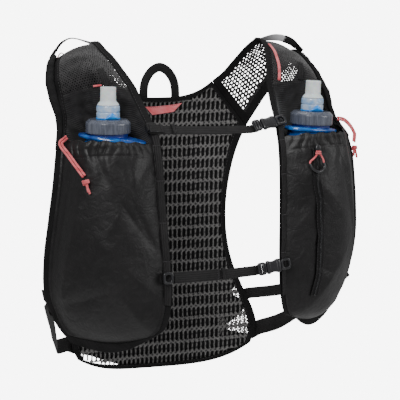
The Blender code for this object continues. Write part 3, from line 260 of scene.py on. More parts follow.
def width(t):
    """The straight distance from the neck edge to the arm edge at t."""
    row = smooth(BAND, t)
    return np.linalg.norm(row[..., 3:6] - row[..., 0:3], axis=-1)


def outward(u, t):
    """Unit normal away from the body: the cross product of the two directions of the band."""
    step = 1e-3
    along_u = chord(u + step, t) - chord(u - step, t)
    return unit(np.cross(chord(u, t + step) - chord(u, t - step), along_u))


def seam_gap(t):
    """The gap of 0.8 mm between layers, which grows fourfold towards the foot."""
    return 0.0008 * (1 + 3 * np.clip(t - 14.5, 0, 1))


def arch(u, t):
    """0 along the tapes and the foot, 1 in the middle: a half sine with full shoulders."""
    edge = (TAPE + seam_gap(t)) / width(t)
    inside = np.clip((u - edge) / (1 - 2 * edge), 0, 1)
    closing = np.clip((t - SHUT_T) / (LAST_T - SHUT_T), 0, 1)
    return np.clip(np.sin(np.pi * inside), 0, 1) ** 0.8 * (1 - closing**2) ** 0.75


def lining(u, t, lift=0.0):
    """The cloth against the body: crowned over the shoulder, hollowed round the flask."""
    u, t = np.broadcast_arrays(np.asarray(u, float), np.asarray(t, float))
    row = smooth(BAND, t)
    folded = 1 - 0.62 * np.exp(-(((t - 4.3) / 1.15) ** 4))
    rise = (row[..., 6] * folded - row[..., 7]) * arch(u, t) + lift
    return chord(u, t) + outward(u, t) * rise[..., None]


# How far the cloth stands out beyond the band's straight edges, in millimetres: the neck edge
# swells over the collar bones, the left shoulder slips in, both pockets bulge near their foot
EASE_T = (0, 3, 4.5, 5.3, 6.5, 7.3, 8.0, 8.6, 9.5, 10.5, 11.5, 12.5, 13.5, 14.5, 15.3, 16)
ARM_EASE = {
    "left": (0, 0, -9.5, -13, -10.5, -7, -8.5, -7.5, 2.5, 6, 7, 8, 8, 7, 11, 11),
    "right": (0, 0, -2.5, 1, 4, 2, -2.5, -4, -2.5, -0.5, 1.5, 3.5, 5, 6, 10, 14),
}
NECK_EASE = {
    "left": (0, 0, 0, 0, 2.0, 4.5, 3.0, 1.0, 0, 0, 0, 0, 0, 0, 0, 0),
    "right": (0, 0, 0, -1.5, 1.0, 5.0, 5.5, 2.0, 0, 0, 0, 0, 0, 0, 0, 0),
}
# The right foot hangs lower at its arm corner, and the left one is drawn up at the neck edge:
# shares of a centimetre
FOOT_SAG = {"left": 0.15, "right": 1.15}
FOOT_LIFT = {"left": 1.2, "right": 0.0}


def placed(points, side, u, t):
    """Points of the left band eased towards the arm and the neck, then put on their own half."""
    arm = np.interp(t, EASE_T, ARM_EASE[side]) / 1000 * np.clip(u, 0, 1.1) ** 1.6
    neck = np.interp(t, EASE_T, NECK_EASE[side]) / 1000 * np.clip(1 - u, 0, 1.1) ** 1.6
    low = np.clip((t - 14.2) / 1.8, 0, 1) ** 1.5
    sag = low * (FOOT_SAG[side] * np.clip(u, 0, 1.1) ** 2 - FOOT_LIFT[side] * np.clip(1 - u, 0, 1.1)) / 100
    sign = 1.0 if side == "left" else -1.0
    moved = (arm - neck)[..., None] * np.array([1.0, 0, 0]) - sag[..., None] * np.array([0, 0, 1.0])
    return (points + moved) * np.array([sign, 1.0, 1.0])


def mirrored(points, sign):
    """Points with x multiplied by the sign of their half."""
    return points * np.array([sign, 1.0, 1.0])


middle_line = chord(0.5, np.linspace(0, FOOT_T, 200))
print("band length", round(float(np.linalg.norm(np.diff(middle_line, axis=0), axis=1).sum()), 3))

# %% [markdown]
# A flask pushes the pocket's cloth out into a long barrel. The cloth is a coated nylon with
# little stretch, so it breaks into flat facets and soft ridges where it turns, and into tight
# upright gathers under the elastic mouth. Each ridge is a narrow bell of height across its
# line and a wide one along it; adding a few tells the eye how the cloth is pulled.

# %% The pocket's cloth
FOLDS = {
    "left": (
        # u, t, turn, half length, half breadth, height
        (0.30, 11.2, 25, 0.30, 0.07, 0.0022),
        (0.74, 12.0, 80, 0.42, 0.06, 0.0018),
        (0.35, 14.2, -35, 0.30, 0.07, 0.0022),
        (0.18, 12.1, -38, 0.16, 0.035, 0.0014),
        (0.20, 12.9, -42, 0.18, 0.035, 0.0015),
        (0.45, 13.6, 12, 0.22, 0.030, -0.0012),
        (0.62, 10.8, 70, 0.25, 0.030, -0.0010),
        (0.86, 11.0, 82, 0.30, 0.030, 0.0012),
    ),
    "right": (
        (0.26, 11.0, 40, 0.34, 0.07, 0.0024),
        (0.24, 13.4, -30, 0.30, 0.06, 0.0024),
        (0.22, 14.6, -42, 0.26, 0.06, 0.0022),
        (0.78, 12.6, 75, 0.40, 0.06, 0.0018),
        (0.30, 11.7, -38, 0.20, 0.030, -0.0016),
        (0.16, 12.2, -48, 0.16, 0.030, -0.0014),
        (0.40, 12.4, 20, 0.22, 0.035, 0.0010),
        (0.85, 11.5, 84, 0.30, 0.025, -0.0010),
        (0.62, 13.9, 12, 0.22, 0.035, -0.0010),
    ),
}


def fold_height(side, u, t):
    """Sum of the ridges, plus a cosine of gathers that fades away from the mouth."""
    height = np.zeros(np.broadcast(u, t).shape)
    for centre_u, centre_t, turn, length, breadth, rise in FOLDS[side]:
        across, down = u - centre_u, (t - centre_t) / (FOOT_T - MOUTH_T)
        c, s = math.cos(math.radians(turn)), math.sin(math.radians(turn))
        along, beside = (across * c + down * s) / length, (down * c - across * s) / breadth
        height += 1.5 * rise * np.exp(-(along**2) - np.abs(beside) ** 1.4)
    gathered = np.exp(-(((t - MOUTH_T - 0.22) / 0.34) ** 2))
    wander = 0.9 * np.sin(9 * u + 5 * t) + 0.5 * np.sin(23 * u)
    pleats = np.abs(np.cos(13 * np.pi * u + wander)) ** 0.7 - 0.5
    pulled = 0.0009 * np.exp(-(((t - MOUTH_T - 1.0) / 0.5) ** 2)) * np.cos(9 * np.pi * u + wander)
    return height + 0.0021 * gathered * pleats + pulled


def pocket_cloth(side, u, t, lift=0.0):
    """Seated on the lining at its edges and swollen by the flask between them."""
    u, t = np.broadcast_arrays(np.asarray(u, float), np.asarray(t, float))
    held = np.clip(arch(u, t) * 2.2, 0, 1)
    rise = 0.0015 + smooth(BAND, t)[..., 8] * arch(u, t) + held * fold_height(side, u, t) + lift
    return chord(u, t) + outward(u, t) * rise[..., None]


# %% [markdown]
# A grid of points becomes a mesh when each point is joined to its neighbours. The same helper
# gives it a UV map in real metres, added up along the grid, so that a weave keeps its size on
# every piece. Closed shapes get their normals worked out again, because mirroring a half turns
# it inside out.

# %% Surfaces from grids
def grid_mesh(name, grid, ring_rows=False, ring_columns=False, caps=False):
    """Quads between neighbouring points; ring_rows joins the last row to the first one."""
    rows, columns = grid.shape[:2]
    index = np.arange(rows * columns).reshape(rows, columns)
    spread = grid
    if ring_rows:
        index, spread = np.vstack([index, index[:1]]), np.concatenate([spread, spread[:1]])
    if ring_columns:
        index = np.hstack([index, index[:, :1]])
        spread = np.concatenate([spread, spread[:, :1]], axis=1)
    quads = np.stack([index[:-1, :-1], index[:-1, 1:], index[1:, 1:], index[1:, :-1]], axis=-1)
    down = np.linalg.norm(np.diff(spread, axis=0), axis=-1).cumsum(axis=0)
    across = np.linalg.norm(np.diff(spread, axis=1), axis=-1).cumsum(axis=1)
    at_v = np.vstack([0 * down[:1], down])
    at_u = np.hstack([0 * across[:, :1], across])
    at = np.stack([at_u, at_v], axis=-1)
    corners = np.stack([at[:-1, :-1], at[:-1, 1:], at[1:, 1:], at[1:, :-1]], axis=2)
    uv = corners.reshape(-1, 2)
    faces = quads.reshape(-1, 4).tolist()
    if caps:
        faces += [index[0, :columns][::-1].tolist(), index[-1, :columns].tolist()]
        uv = np.vstack([uv, np.zeros((2 * columns, 2))])
    mesh = bpy.data.meshes.new(name)
    mesh.from_pydata(grid.reshape(-1, 3).tolist(), [], faces)
    layer = mesh.uv_layers.new(name="metres")
    layer.data.foreach_set("uv", uv.astype(np.float32).ravel())
    return mesh


def outwards(mesh):
    """Turns the faces of a closed shape so that they all look out."""
    work = bmesh.new()
    work.from_mesh(mesh)
    bmesh.ops.recalc_face_normals(work, faces=work.faces)
    work.to_mesh(mesh)
    work.free()
    return mesh


def dress(mesh, finish, stands_for=(), body="root", wall=0.0, rounds=0):
    """A mesh becomes a piece of the vest: shaded smooth, finished and carried by its body."""
    made = bpy.data.objects.new(mesh.name, mesh)
    bpy.context.scene.collection.objects.link(made)
    mesh.materials.append(finish)
    mesh.shade_smooth()
    if wall:
        made.modifiers.new("wall", "SOLIDIFY").thickness = wall
        made.modifiers["wall"].offset = 0.0
    if rounds:
        softened = made.modifiers.new("rounded", "SUBSURF")
        softened.levels = softened.render_levels = rounds
    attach(made, body)
    if stands_for:
        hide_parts(*stands_for)
    return made


def tube_grid(path, radius, sides, facing):
    """Circles carried along a path, drawn in to a small flat at each end."""
    path, radius = np.asarray(path, float), np.broadcast_to(radius, len(path)).astype(float)
    along = unit(np.gradient(path, axis=0))
    beside = unit(np.cross(along, facing))
    above = np.cross(beside, along)
    turn = np.linspace(0, 2 * np.pi, sides, endpoint=False)[None, :, None]
    ring = beside[:, None] * np.cos(turn) + above[:, None] * np.sin(turn)
    first = path[0] - along[0] * radius[0] * 0.4
    last = path[-1] + along[-1] * radius[-1] * 0.4
    grid = path[:, None] + ring * radius[:, None, None]
    starts = first + ring[:1] * radius[0] * 0.6
    ends = last + ring[-1:] * radius[-1] * 0.6
    return np.concatenate([starts, grid, ends])


def tube(name, path, radius, sides, facing):
    """A round closed tube along a path, as a finished mesh."""
    mesh = grid_mesh(name, tube_grid(path, radius, sides, facing), ring_columns=True, caps=True)
    return outwards(mesh)


def length_of(path):
    """The sum of the distances between a path's neighbouring points."""
    return float(np.linalg.norm(np.diff(path, axis=0), axis=1).sum())


# %% [markdown]
# The elastic drawcords gather the pocket mouths. Each comes out of a small eyelet beside the
# arm, doubles on itself and ends in an overhand knot with two short tails. Their whole length
# shows, so it is taken from the photograph. The route is the CAD's own, repeated here.

# %% Drawcords
CORD = 0.0024
DRAWCORDS = {
    # u, t, lift from the pocket's cloth
    "left": (
        (0.940, 8.72, 0.0049),
        (1.030, 8.80, 0.0056),
        (1.082, 9.08, 0.0034),
        (1.068, 9.54, 0.0018),
        (1.030, 9.92, 0.0014),
    ),
    "right": (
        (0.890, 9.12, 0.0060),
        (0.945, 9.26, 0.0056),
        (0.935, 9.50, 0.0052),
        (0.870, 9.86, 0.0054),
        (0.790, 10.25, 0.0048),
        (0.700, 10.62, 0.0042),
    ),
}
KNOTS = {
    "left": ((1.012, 10.05, 0.0018), (1.002, 10.32, 0.0024), (0.990, 10.56, 0.0032)),
    "right": ((0.690, 10.70, 0.0045), (0.665, 10.90, 0.0045), (0.640, 11.12, 0.0030)),
}


def cord_route(side, sign, rows, count, shift=0.0):
    """A smooth curve over the pocket, moved sideways by shift."""
    row = smooth(rows, np.linspace(0, len(rows) - 1, count))
    u, t = row[:, 0], row[:, 1]
    path = pocket_cloth(side, u, t, row[:, 2])
    beside = unit(np.cross(np.gradient(path, axis=0), outward(u, t)))
    return placed(path + beside * shift, side, u, t), mirrored(outward(u, t), sign)


def knot_grid(middle, along, facing, loops=2.0):
    """An overhand knot drawn tight: a cord that winds round the strands in a short barrel."""
    beside = unit(np.cross(along, facing))
    turn = np.linspace(0, 2 * np.pi * loops, 40)[:, None]
    run = np.linspace(-0.0017, 0.0017, 40)[:, None]
    wound = beside * np.cos(turn) * 0.0028 + facing * np.sin(turn) * 0.0021
    return middle + along * run + wound


for side, sign in SIDES:
    knot_path, knot_out = cord_route(side, sign, KNOTS[side], 9)
    middle, along = knot_path[2], unit(knot_path[3] - knot_path[1])
    knot = tube(f"{side}_drawcord_knot", knot_grid(middle, along, knot_out[2]), 0.00125, 8, along)
    knot = dress(knot, coral_braid, [f"{side}_drawcord_knot"])
    for letter, away in (("a", -0.0012), ("b", 0.0012)):
        tail_path, tail_out = cord_route(side, sign, KNOTS[side], 9, away * 0.8)
        beside = unit(np.cross(np.gradient(tail_path, axis=0), tail_out))
        spread = np.linspace(-0.2, 1.0, 9)[:, None] * (0.0022 if letter == "b" else -0.0012)
        cut = 9 if letter == "a" else 8
        tail_path = (tail_path + beside * spread)[1:cut]
        tail = tube(f"{side}_drawcord_tail_{letter}", tail_path, CORD / 2, 8, tail_out[1:cut])
        dress(tail, coral_braid)
    for letter, away in (("a", -0.5), ("b", 0.5)):
        path, facing = cord_route(side, sign, DRAWCORDS[side], 34, away * 0.0027)
        name = f"{side}_drawcord_{letter}"
        strand = dress(tube(name, path, CORD / 2, 10, facing), coral_braid, [name])
        print(name, round(length_of(path) * 1000, 1), "mm")

# %% [markdown]
# The back is a coarse spacer net: rows of long six-sided holes with a knitted band between
# them. Each hole is one small cell of a few faces; the cell is repeated in flat x and z at the
# knitted pitch, trimmed where the binding covers it, and then pushed onto the back's surface.
# That surface is a Coons patch: it blends the two sides and the two ends, less the corners.

# %% The back's surface
HEM_X, REACH, DROP = 0.116, 0.057, 0.390
BACK_SIDE = np.array(
    [
        # drop, half width, reach, as shares of the back's own
        (0.1069 / 0.39, 0.1009 / 0.116, 0.0490 / 0.057),
        (0.325, 0.800, 0.915),
        (0.385, 0.740, 0.947),
        (0.461, 0.694, 0.974),
        (0.538, 0.676, 0.982),
        (0.615, 0.694, 0.982),
        (0.692, 0.754, 0.974),
        (0.769, 0.862, 0.947),
        (0.846, 0.974, 0.895),
        (0.900, 1.000, 0.868),
        (0.945, 0.935, 0.877),
    ]
)


def back_top(u):
    """Along the seam to each shoulder, with the neck's dip between, deepest in the middle."""
    inner, outer = BAND[0, 0:3], BAND[0, 3:6]
    x = outer[0] * (2 * u - 1)
    on_seam = np.clip((np.abs(x) - inner[0]) / (outer[0] - inner[0]), 0, 1)
    in_neck = np.clip(np.abs(x) / inner[0], 0, 1)
    z = inner[2] + on_seam * (outer[2] - inner[2]) - 0.018 * (1 - in_neck**3)
    return np.stack([x, inner[1] + (REACH - inner[1]) * (1 - in_neck**2), z], axis=-1)


def back_side(v, sign):
    """The back's side edge: a smooth curve through the named rows, scaled to its sizes."""
    row = smooth(BACK_SIDE, v * (len(BACK_SIDE) - 1))
    return np.stack([sign * row[..., 1] * HEM_X, row[..., 2] * REACH, -row[..., 0] * DROP], axis=-1)


def back_hem(u):
    """The back's lower edge: powers of the distance from the middle lift its corners."""
    share = np.abs(2 * u - 1)
    x = BACK_SIDE[-1, 1] * HEM_X * (2 * u - 1)
    y = REACH * (1 - (1 - BACK_SIDE[-1, 2]) * share**2)
    lifted = 0.0015 * np.exp(-(((2 * u - 0.65) / 0.35) ** 2))
    return np.stack([x, y, lifted - DROP * (1 - (1 - BACK_SIDE[-1, 0]) * share**3.4)], axis=-1)


def back(u, v):
    """A Coons patch: ends and sides blended straight, less the blend of the corners."""
    u, v = np.broadcast_arrays(np.asarray(u, float), np.asarray(v, float))
    a, b, zero = u[..., None], v[..., None], np.zeros_like(u)
    edges = (1 - b) * back_top(u) + b * back_hem(u) + (1 - a) * back_side(v, -1) + a * back_side(v, 1)
    corners = (1 - b) * ((1 - a) * back_top(zero) + a * back_top(zero + 1))
    return edges - corners - b * ((1 - a) * back_hem(zero) + a * back_hem(zero + 1))


def back_away(points, u, v, lift):
    """Points moved along the back's normal, away from the body."""
    step = 1e-3
    across = back(u + step, v) - back(u - step, v)
    normal = unit(np.cross(across, back(u, v + step) - back(u, v - step)))
    return points + normal * np.asarray(lift)[..., None]


def on_back(x, z, lift=0.0):
    """The back above flat x and z: u and v are guessed, then corrected by what they miss."""
    u, v = x / 0.2 + 0.5, (-0.06 - z) / 0.33
    for _ in range(12):
        miss = back(u, v)
        u = np.clip(u + (x - miss[..., 0]) / 0.19, -0.02, 1.02)
        v = np.clip(v - (z - miss[..., 2]) / 0.33, -0.02, 1.02)
    return back_away(back(u, v), u, v, lift + 0 * u)


# %% [markdown]
# The strands are polyester, dark grey over black, fuzzy and dull. The knitted band between two
# rows of holes shows small dark pinholes in a diamond order, so the finish darkens the colour
# where two slanted stripes meet. The holes themselves are real, so the eye sees through them.

# %% Net finish
spacer_knit, tree, body = new_finish("polyester spacer net", Roughness=0.85, Sheen_Weight=0.25)
at = add(tree, "ShaderNodeTexCoord", {}).outputs["Object"]
slanted = [
    # 1.5 mm between pinholes along each diagonal, coarser than the knit so that it shows
    add(tree, "ShaderNodeTexWave", {"Vector": at, "Scale": math.pi / 10 / 0.0021 / 1.4},
        bands_direction="DIAGONAL"),
    add(tree, "ShaderNodeTexWave",
        {"Vector": add(tree, "ShaderNodeMapping", {0: at, "Scale": (-1, 1, 1)}).outputs[0],
         "Scale": math.pi / 10 / 0.0021 / 1.4}, bands_direction="DIAGONAL"),
]
pinhole = add(tree, "ShaderNodeMath", {0: slanted[0].outputs[1], 1: slanted[1].outputs[1]},
              operation="MULTIPLY").outputs[0]
fuzz = add(tree, "ShaderNodeTexNoise", {"Vector": at, "Scale": 260.0, "Detail": 6}).outputs[0]
share = add(tree, "ShaderNodeMath", {0: pinhole, 1: fuzz}, operation="ADD").outputs[0]
range_ = add(tree, "ShaderNodeMapRange", {0: share, 1: 0.3, 2: 1.2}).outputs[0]
tree.links.new(mix(tree, range_, linear("787675"), linear("2b2a2b")), body.inputs["Base Color"])
bump = add(tree, "ShaderNodeBump", {"Height": share, "Strength": 0.6, "Distance": -0.0006})
tree.links.new(bump.outputs[0], body.inputs["Normal"])


def net_mesh(name, centres, size, hole, spread):
    """One frame of eight quads for each centre, its outer corners shared with its neighbours.
    size is the cell, hole the corners of the opening as shares of it; spread puts the flat
    points on the surface."""
    turn = np.arange(8)
    rim = np.stack([np.sign(np.round(np.cos(turn * np.pi / 4), 6)),
                    np.sign(np.round(np.sin(turn * np.pi / 4), 6))], axis=-1) / 2
    outer = (centres[:, None] + rim * size).reshape(-1, 2)
    inner = (centres[:, None] + np.asarray(hole) * size).reshape(-1, 2)
    shared, where = np.unique(np.round(outer, 7), axis=0, return_inverse=True)
    where = where.reshape(len(centres), 8)
    within = len(shared) + np.arange(len(inner)).reshape(len(centres), 8)
    after = np.roll(turn, -1)
    faces = np.stack([where, where[:, after], within[:, after], within], axis=-1).reshape(-1, 4)
    mesh = bpy.data.meshes.new(name)
    mesh.from_pydata(spread(np.vstack([shared, inner])).tolist(), [], faces.tolist())
    return mesh


# %% Back net
PITCH = np.array([0.0055, 0.01365])
COVER = 0.0042
LONG_HOLE = ((0.37, 0.01), (0.35, 0.31), (0.03, 0.425), (-0.32, 0.29),
             (-0.37, -0.01), (-0.35, -0.31), (-0.03, -0.425), (0.32, -0.29))
dense_v = np.linspace(0, 1, 200)
side_line, top_line, hem_line = back_side(dense_v, 1), back_top(dense_v), back_hem(dense_v)


def back_limits(x, z):
    """Half width at a height, and top and bottom at a distance from the middle."""
    reach = np.interp(-z, -side_line[:, 2], side_line[:, 0])
    top = np.interp(x, top_line[:, 0], top_line[:, 2])
    return reach, top, np.interp(x, hem_line[:, 0], hem_line[:, 2])


def trim_to_back(flat):
    """Flat points pulled in to the line that the binding's middle covers."""
    x, z = flat[:, 0], flat[:, 1]
    reach, _, _ = back_limits(x, z)
    x = np.clip(x, -reach + COVER, reach - COVER)
    _, top, low = back_limits(x, z)
    return on_back(x, np.clip(z, low + COVER, top - COVER))


columns, rows = np.meshgrid(np.arange(-20, 21), np.arange(0, 26))
centres = np.stack([columns * PITCH[0], -0.0535 - rows * PITCH[1]], axis=-1).reshape(-1, 2)
reach, top, low = back_limits(*centres.T)
kept = (np.abs(centres[:, 0]) < reach - COVER + 0.002) & (centres[:, 1] < top - 0.001)
kept &= centres[:, 1] > low + 0.001
back_net = net_mesh("back_net", centres[kept], PITCH, LONG_HOLE, trim_to_back)
dress(back_net, spacer_knit, ["back_net"], wall=0.0010)
print("net holes", int(kept.sum()))

# %% [markdown]
# Behind the net lies one plain layer of black knit, which ends short of the lower corner.
# It is a thin sheet laid on the same surface a few millimetres further out.

# %% Rear panel
black_knit = woven(
    # brushed polyester knit: matt, soft, near black, with faint ribs 1.5 mm apart
    "brushed black knit", "0b0a0b", "171617", (0.0015, 0.0015), 0.9, 0.35, Sheen_Weight=0.3,
)
share, v = np.meshgrid(np.linspace(0, 1, 60), np.linspace(0.018, 0.993, 90))
notch = 0.13 * np.exp(-(((v - 0.85) / 0.045) ** 2)) + 0.05 * np.exp(-(((v - 0.72) / 0.02) ** 2))
u = 0.03 * (1 - share) + (0.97 - notch) * share
v = v - 0.055 * np.clip((v - 0.80) / 0.17, 0, 1) * np.clip((0.30 - u) / 0.2, 0, 1)
lift = 0.0021 + 0.0012 * np.sin(np.pi * u) * np.sin(3 * np.pi * v) ** 2
grid = back_away(back(u, v), u, v, lift)
rear = dress(grid_mesh("rear_panel", grid), black_knit, ["rear_panel"], wall=0.0008)
print("rear panel", grid.shape)

# %% [markdown]
# A binding is a woven tape folded over a raw edge and sewn through. From the front it is a
# flat bar with round edges and a line of stitches. A rounded flat profile is carried between
# the two lines that the tape's edges follow: one cosine moves it across, one power of the sine
# gives its thickness.

# %% Binding tape
bound_tape = woven(
    # grosgrain polyester tape: fine ribs across it, dull black, a little lighter where rubbed
    "black grosgrain tape", "070707", "131213", (0.0016, 0.0050), 0.78, 0.5, patch=0.02,
)


def tape_grid(outer, inner, facing, thickness, sides=14):
    """Squared loops from edge to edge: powers of cosine and sine flatten a circle to a tape."""
    turn = np.linspace(0, 2 * np.pi, sides, endpoint=False)
    across, high = np.cos(turn), np.sin(turn)
    middle, half = (outer + inner) / 2, (outer - inner) / 2
    bulge = np.sign(high) * np.abs(high) ** 0.6 * thickness / 2
    flat = np.sign(across) * np.abs(across) ** 0.55
    return middle[:, None] + half[:, None] * flat[:, None] + facing[:, None] * bulge[:, None]


def inset_back(us, vs, length):
    """Points all round the back, a length in from its edge."""
    a, b = length / 0.184, length / 0.3382
    us = np.clip(us, a, 1 - a)
    vs = np.clip(vs, b, 1 - b)
    ring_u = np.concatenate([us[:-1], 0 * vs[:-1] + 1 - a, us[:0:-1], 0 * vs[1:] + a])
    ring_v = np.concatenate([0 * us[:-1] + b, vs[:-1], 0 * us[1:] + 1 - b, vs[:0:-1]])
    points = back(ring_u, ring_v)
    return points, unit(back_away(points, ring_u, ring_v, np.ones(len(ring_u))) - points)


us, vs = np.linspace(0, 1, 71), np.linspace(0, 1, 91)
edge, facing = inset_back(us, vs, 0.0)
inside, _ = inset_back(us, vs, TAPE)
tape = grid_mesh("back_binding", tape_grid(edge, inside, facing, 0.0024), True, True)
dress(outwards(tape), bound_tape, ["back_binding"])

# %% [markdown]
# Over the shoulders runs a finer knitted mesh. At the back it is open enough to look through;
# in front its holes are small and irregular. Both are six-sided cells in staggered rows, as in
# a honeycomb; the distance along the band is measured first, so that cells keep their size.

# %% Shoulder mesh
shoulder_knit = woven(
    # warp-knit polyester mesh: dull black with grey fuzz on the strands
    "black warp-knit mesh", "121112", "2c2a2b", (0.0011, 0.0011), 0.88, 0.4, Sheen_Weight=0.25,
)


def tape_shares(t):
    """Shares of the band's width under the neck tape and under the arm tape."""
    taper = np.clip((MOUTH_T - t) / (MOUTH_T - HEM_T), 0, 1)
    return TAPE / width(t), (TAPE + 0.006 * taper) / width(t)


def between_tapes(share, t):
    """u from tape to tape, with the cloth's raw edges 3 mm inside their folds."""
    inner, outer = tape_shares(t)
    gap = -0.003 / width(t)
    return (inner + gap) * (1 - share) + (1 - outer - gap) * share


fine_t = np.linspace(0.04, HEM_T, 300)
steps = np.linalg.norm(np.diff(lining(0.5, fine_t), axis=0), axis=1)
run_of_t = np.concatenate([[0], steps.cumsum()])
HEXAGON = np.array([(0, 0.5), (-0.5, 0.25), (-0.5, -0.25), (0, -0.5), (0.5, -0.25), (0.5, 0.25)])


def honeycomb(start, end, across, height, hole, jitter, seed):
    """Cells in staggered rows between two distances along the band: flat points and quads.
    Odd rows move over by half a cell, and each row climbs three quarters of one."""
    rows, columns = int((end - start) / height / 0.75) + 1, np.arange(-1, across + 1)
    c, r = np.meshgrid(columns, np.arange(rows))
    middle = np.stack([c + 0.5 * (r % 2), r * 0.75], axis=-1).reshape(-1, 1, 2)
    outer = np.round(middle + HEXAGON, 5).reshape(-1, 2)
    chance = np.random.default_rng(seed)
    inner = middle + HEXAGON * (hole + chance.uniform(-jitter, jitter, (len(middle), 1, 1)))
    shared, where = np.unique(outer, axis=0, return_inverse=True)
    shared = shared + chance.uniform(-jitter, jitter, shared.shape) * 0.4
    where, after = where.reshape(-1, 6), np.roll(np.arange(6), -1)
    within = len(shared) + np.arange(len(inner) * 6).reshape(-1, 6)
    quads = np.stack([where, where[:, after], within[:, after], within], axis=-1)
    flat = np.vstack([shared, inner.reshape(-1, 2)])
    flat = np.stack([np.clip(flat[:, 0] / across, 0, 1), start + flat[:, 1] * height], axis=-1)
    flat[:, 1] = np.clip(flat[:, 1], start, end)
    return flat, quads.reshape(-1, 4)


YOKE_END = float(np.interp(3.7, fine_t, run_of_t))
yoke = honeycomb(0, YOKE_END, 11, 0.0060, 0.47, 0.14, 3)
CHEST_HOLE = {"left": 0.36, "right": 0.50}
for side, sign in SIDES:
    chest = honeycomb(YOKE_END - 0.0004, run_of_t[-1], 27, 0.0034, CHEST_HOLE[side], 0.13, 4)
    flat = np.vstack([yoke[0], chest[0]])
    quads = np.vstack([yoke[1], chest[1] + len(yoke[0])])
    t = np.interp(flat[:, 1], run_of_t, fine_t)
    mesh = bpy.data.meshes.new(f"{side}_shoulder")
    points = placed(lining(between_tapes(flat[:, 0], t), t), side, between_tapes(flat[:, 0], t), t)
    mesh.from_pydata(points.tolist(), [], quads.tolist())
    layer = mesh.uv_layers.new(name="metres")
    corner_uv = (flat * (0.08, 1.0))[quads.ravel()]
    layer.data.foreach_set("uv", corner_uv.astype(np.float32).ravel())
    dress(mesh, shoulder_knit, [f"{side}_shoulder"], wall=0.0009)
    print(mesh.name, len(quads), "quads")

# %% [markdown]
# In the photo the front of the mesh is dark almost everywhere, because the lining runs up
# behind it; light passes only beside the neck, above the hem. So a plain dark lining lies a
# millimetre under the mesh, and its edge leaves that window free. On the left the window
# lies further from the neck.

# %% Shoulder lining and back seam
dark_lining = woven(
    # plain knit seen through the mesh: almost black, matt
    "dark lining knit", "070607", "0f0e0f", (0.0018, 0.0018), 0.92, 0.3,
)
WINDOWS = {
    # t rows, then the shares between which light passes
    "left": ((3.7, 5.6, 6.0, 6.5, 7.0, 7.3), (0.22, 0.22, 0.22, 0.18, 0.16, 0.16),
             (0.22, 0.22, 0.32, 0.42, 0.40, 0.30)),
    "right": ((3.7, 4.9, 5.5, 6.1, 6.7, 7.3), (0.0, 0.0, 0.0, 0.0, 0.0, 0.0),
              (0.0, 0.0, 0.16, 0.30, 0.36, 0.40)),
}
for side, sign in SIDES:
    rows, first, last = WINDOWS[side]
    t = np.linspace(3.75, HEM_T + 0.1, 60)
    parts = {"near": (0 * t, np.interp(t, rows, first)), "far": (np.interp(t, rows, last), 0 * t + 1)}
    for name, (start, end) in parts.items():
        if np.ptp(end - start) + (end - start).max() < 0.05:
            continue
        share = start[:, None] + (end - start)[:, None] * np.linspace(0, 1, 30)
        u = between_tapes(share, t[:, None])
        grid = placed(lining(u, np.broadcast_to(t[:, None], u.shape), -0.0013), side, u, t[:, None])
        mesh = grid_mesh(f"{side}_shoulder_lining_{name}", grid)
        dress(mesh, dark_lining, wall=0.0006)
    u, t = np.linspace(0.01, 0.99, 40), np.full(40, 0.02)
    lines = [placed(lining(u, t + step, 0.0004), side, u, t) for step in (0.50, -0.14)]
    taped = tape_grid(*lines, mirrored(outward(u, t + 0.2), sign), 0.0022)
    seam_tape = grid_mesh(f"{side}_back_seam_tape", taped, False, True, True)
    dress(outwards(seam_tape), dark_lining)

# %% [markdown]
# The neck edge has the plain tape. The arm edge has a wider one, folded over on itself and
# left open towards the neck, so it shows a dark hollow and a lighter inner fold. Its profile
# is an open hook: flat against the shoulder, round at the arm, and back over the top.

# %% Neck and arm bindings
HOOK = np.array(
    [
        # share across from the inner edge, height in metres
        (0.02, 0.0000),
        (0.25, 0.0004),
        (0.55, 0.0008),
        (0.80, 0.0006),
        (0.96, 0.0008),
        (1.02, 0.0026),
        (0.97, 0.0046),
        (0.84, 0.0056),
        (0.66, 0.0056),
        (0.50, 0.0048),
        (0.44, 0.0036),
    ]
)
ts = np.linspace(0.05, 9.6, 150)
neck_share, arm_share = tape_shares(ts)
hook = smooth(HOOK, np.linspace(0, len(HOOK) - 1, 34))
for side, sign in SIDES:
    facing = mirrored(outward(0 * ts, ts), sign)
    ends = [placed(lining(u, ts), side, u, ts) for u in (0 * ts, neck_share)]
    tape = grid_mesh(f"{side}_neck_binding", tape_grid(*ends, facing, 0.0024), False, True, True)
    dress(outwards(tape), bound_tape, [f"{side}_neck_binding"])
    u = 1 - arm_share[:, None] * (1 - hook[:, 0])
    full = np.clip((9.6 - ts) / 2.2, 0.35, 1)[:, None]
    ripple = 1 + 0.10 * np.sin(ts * 5.1)[:, None] + 0.06 * np.sin(ts * 13.0)[:, None]
    t = np.broadcast_to(ts[:, None], u.shape)
    grid = placed(lining(u, t, hook[:, 1] * full * ripple), side, u, t)
    tape = grid_mesh(f"{side}_arm_binding", grid)
    dress(tape, bound_tape, [f"{side}_arm_binding"], wall=0.0009)
print("arm binding", round(float(arm_share[0] * width(0.05)) * 1000, 1), "mm wide")

# %% [markdown]
# Below the mesh the chest has a ribbed stretch cloth, which also lines the flask pocket. Real
# ribs are a millimetre apart; they are drawn at 2.2 mm so that the render can show them.

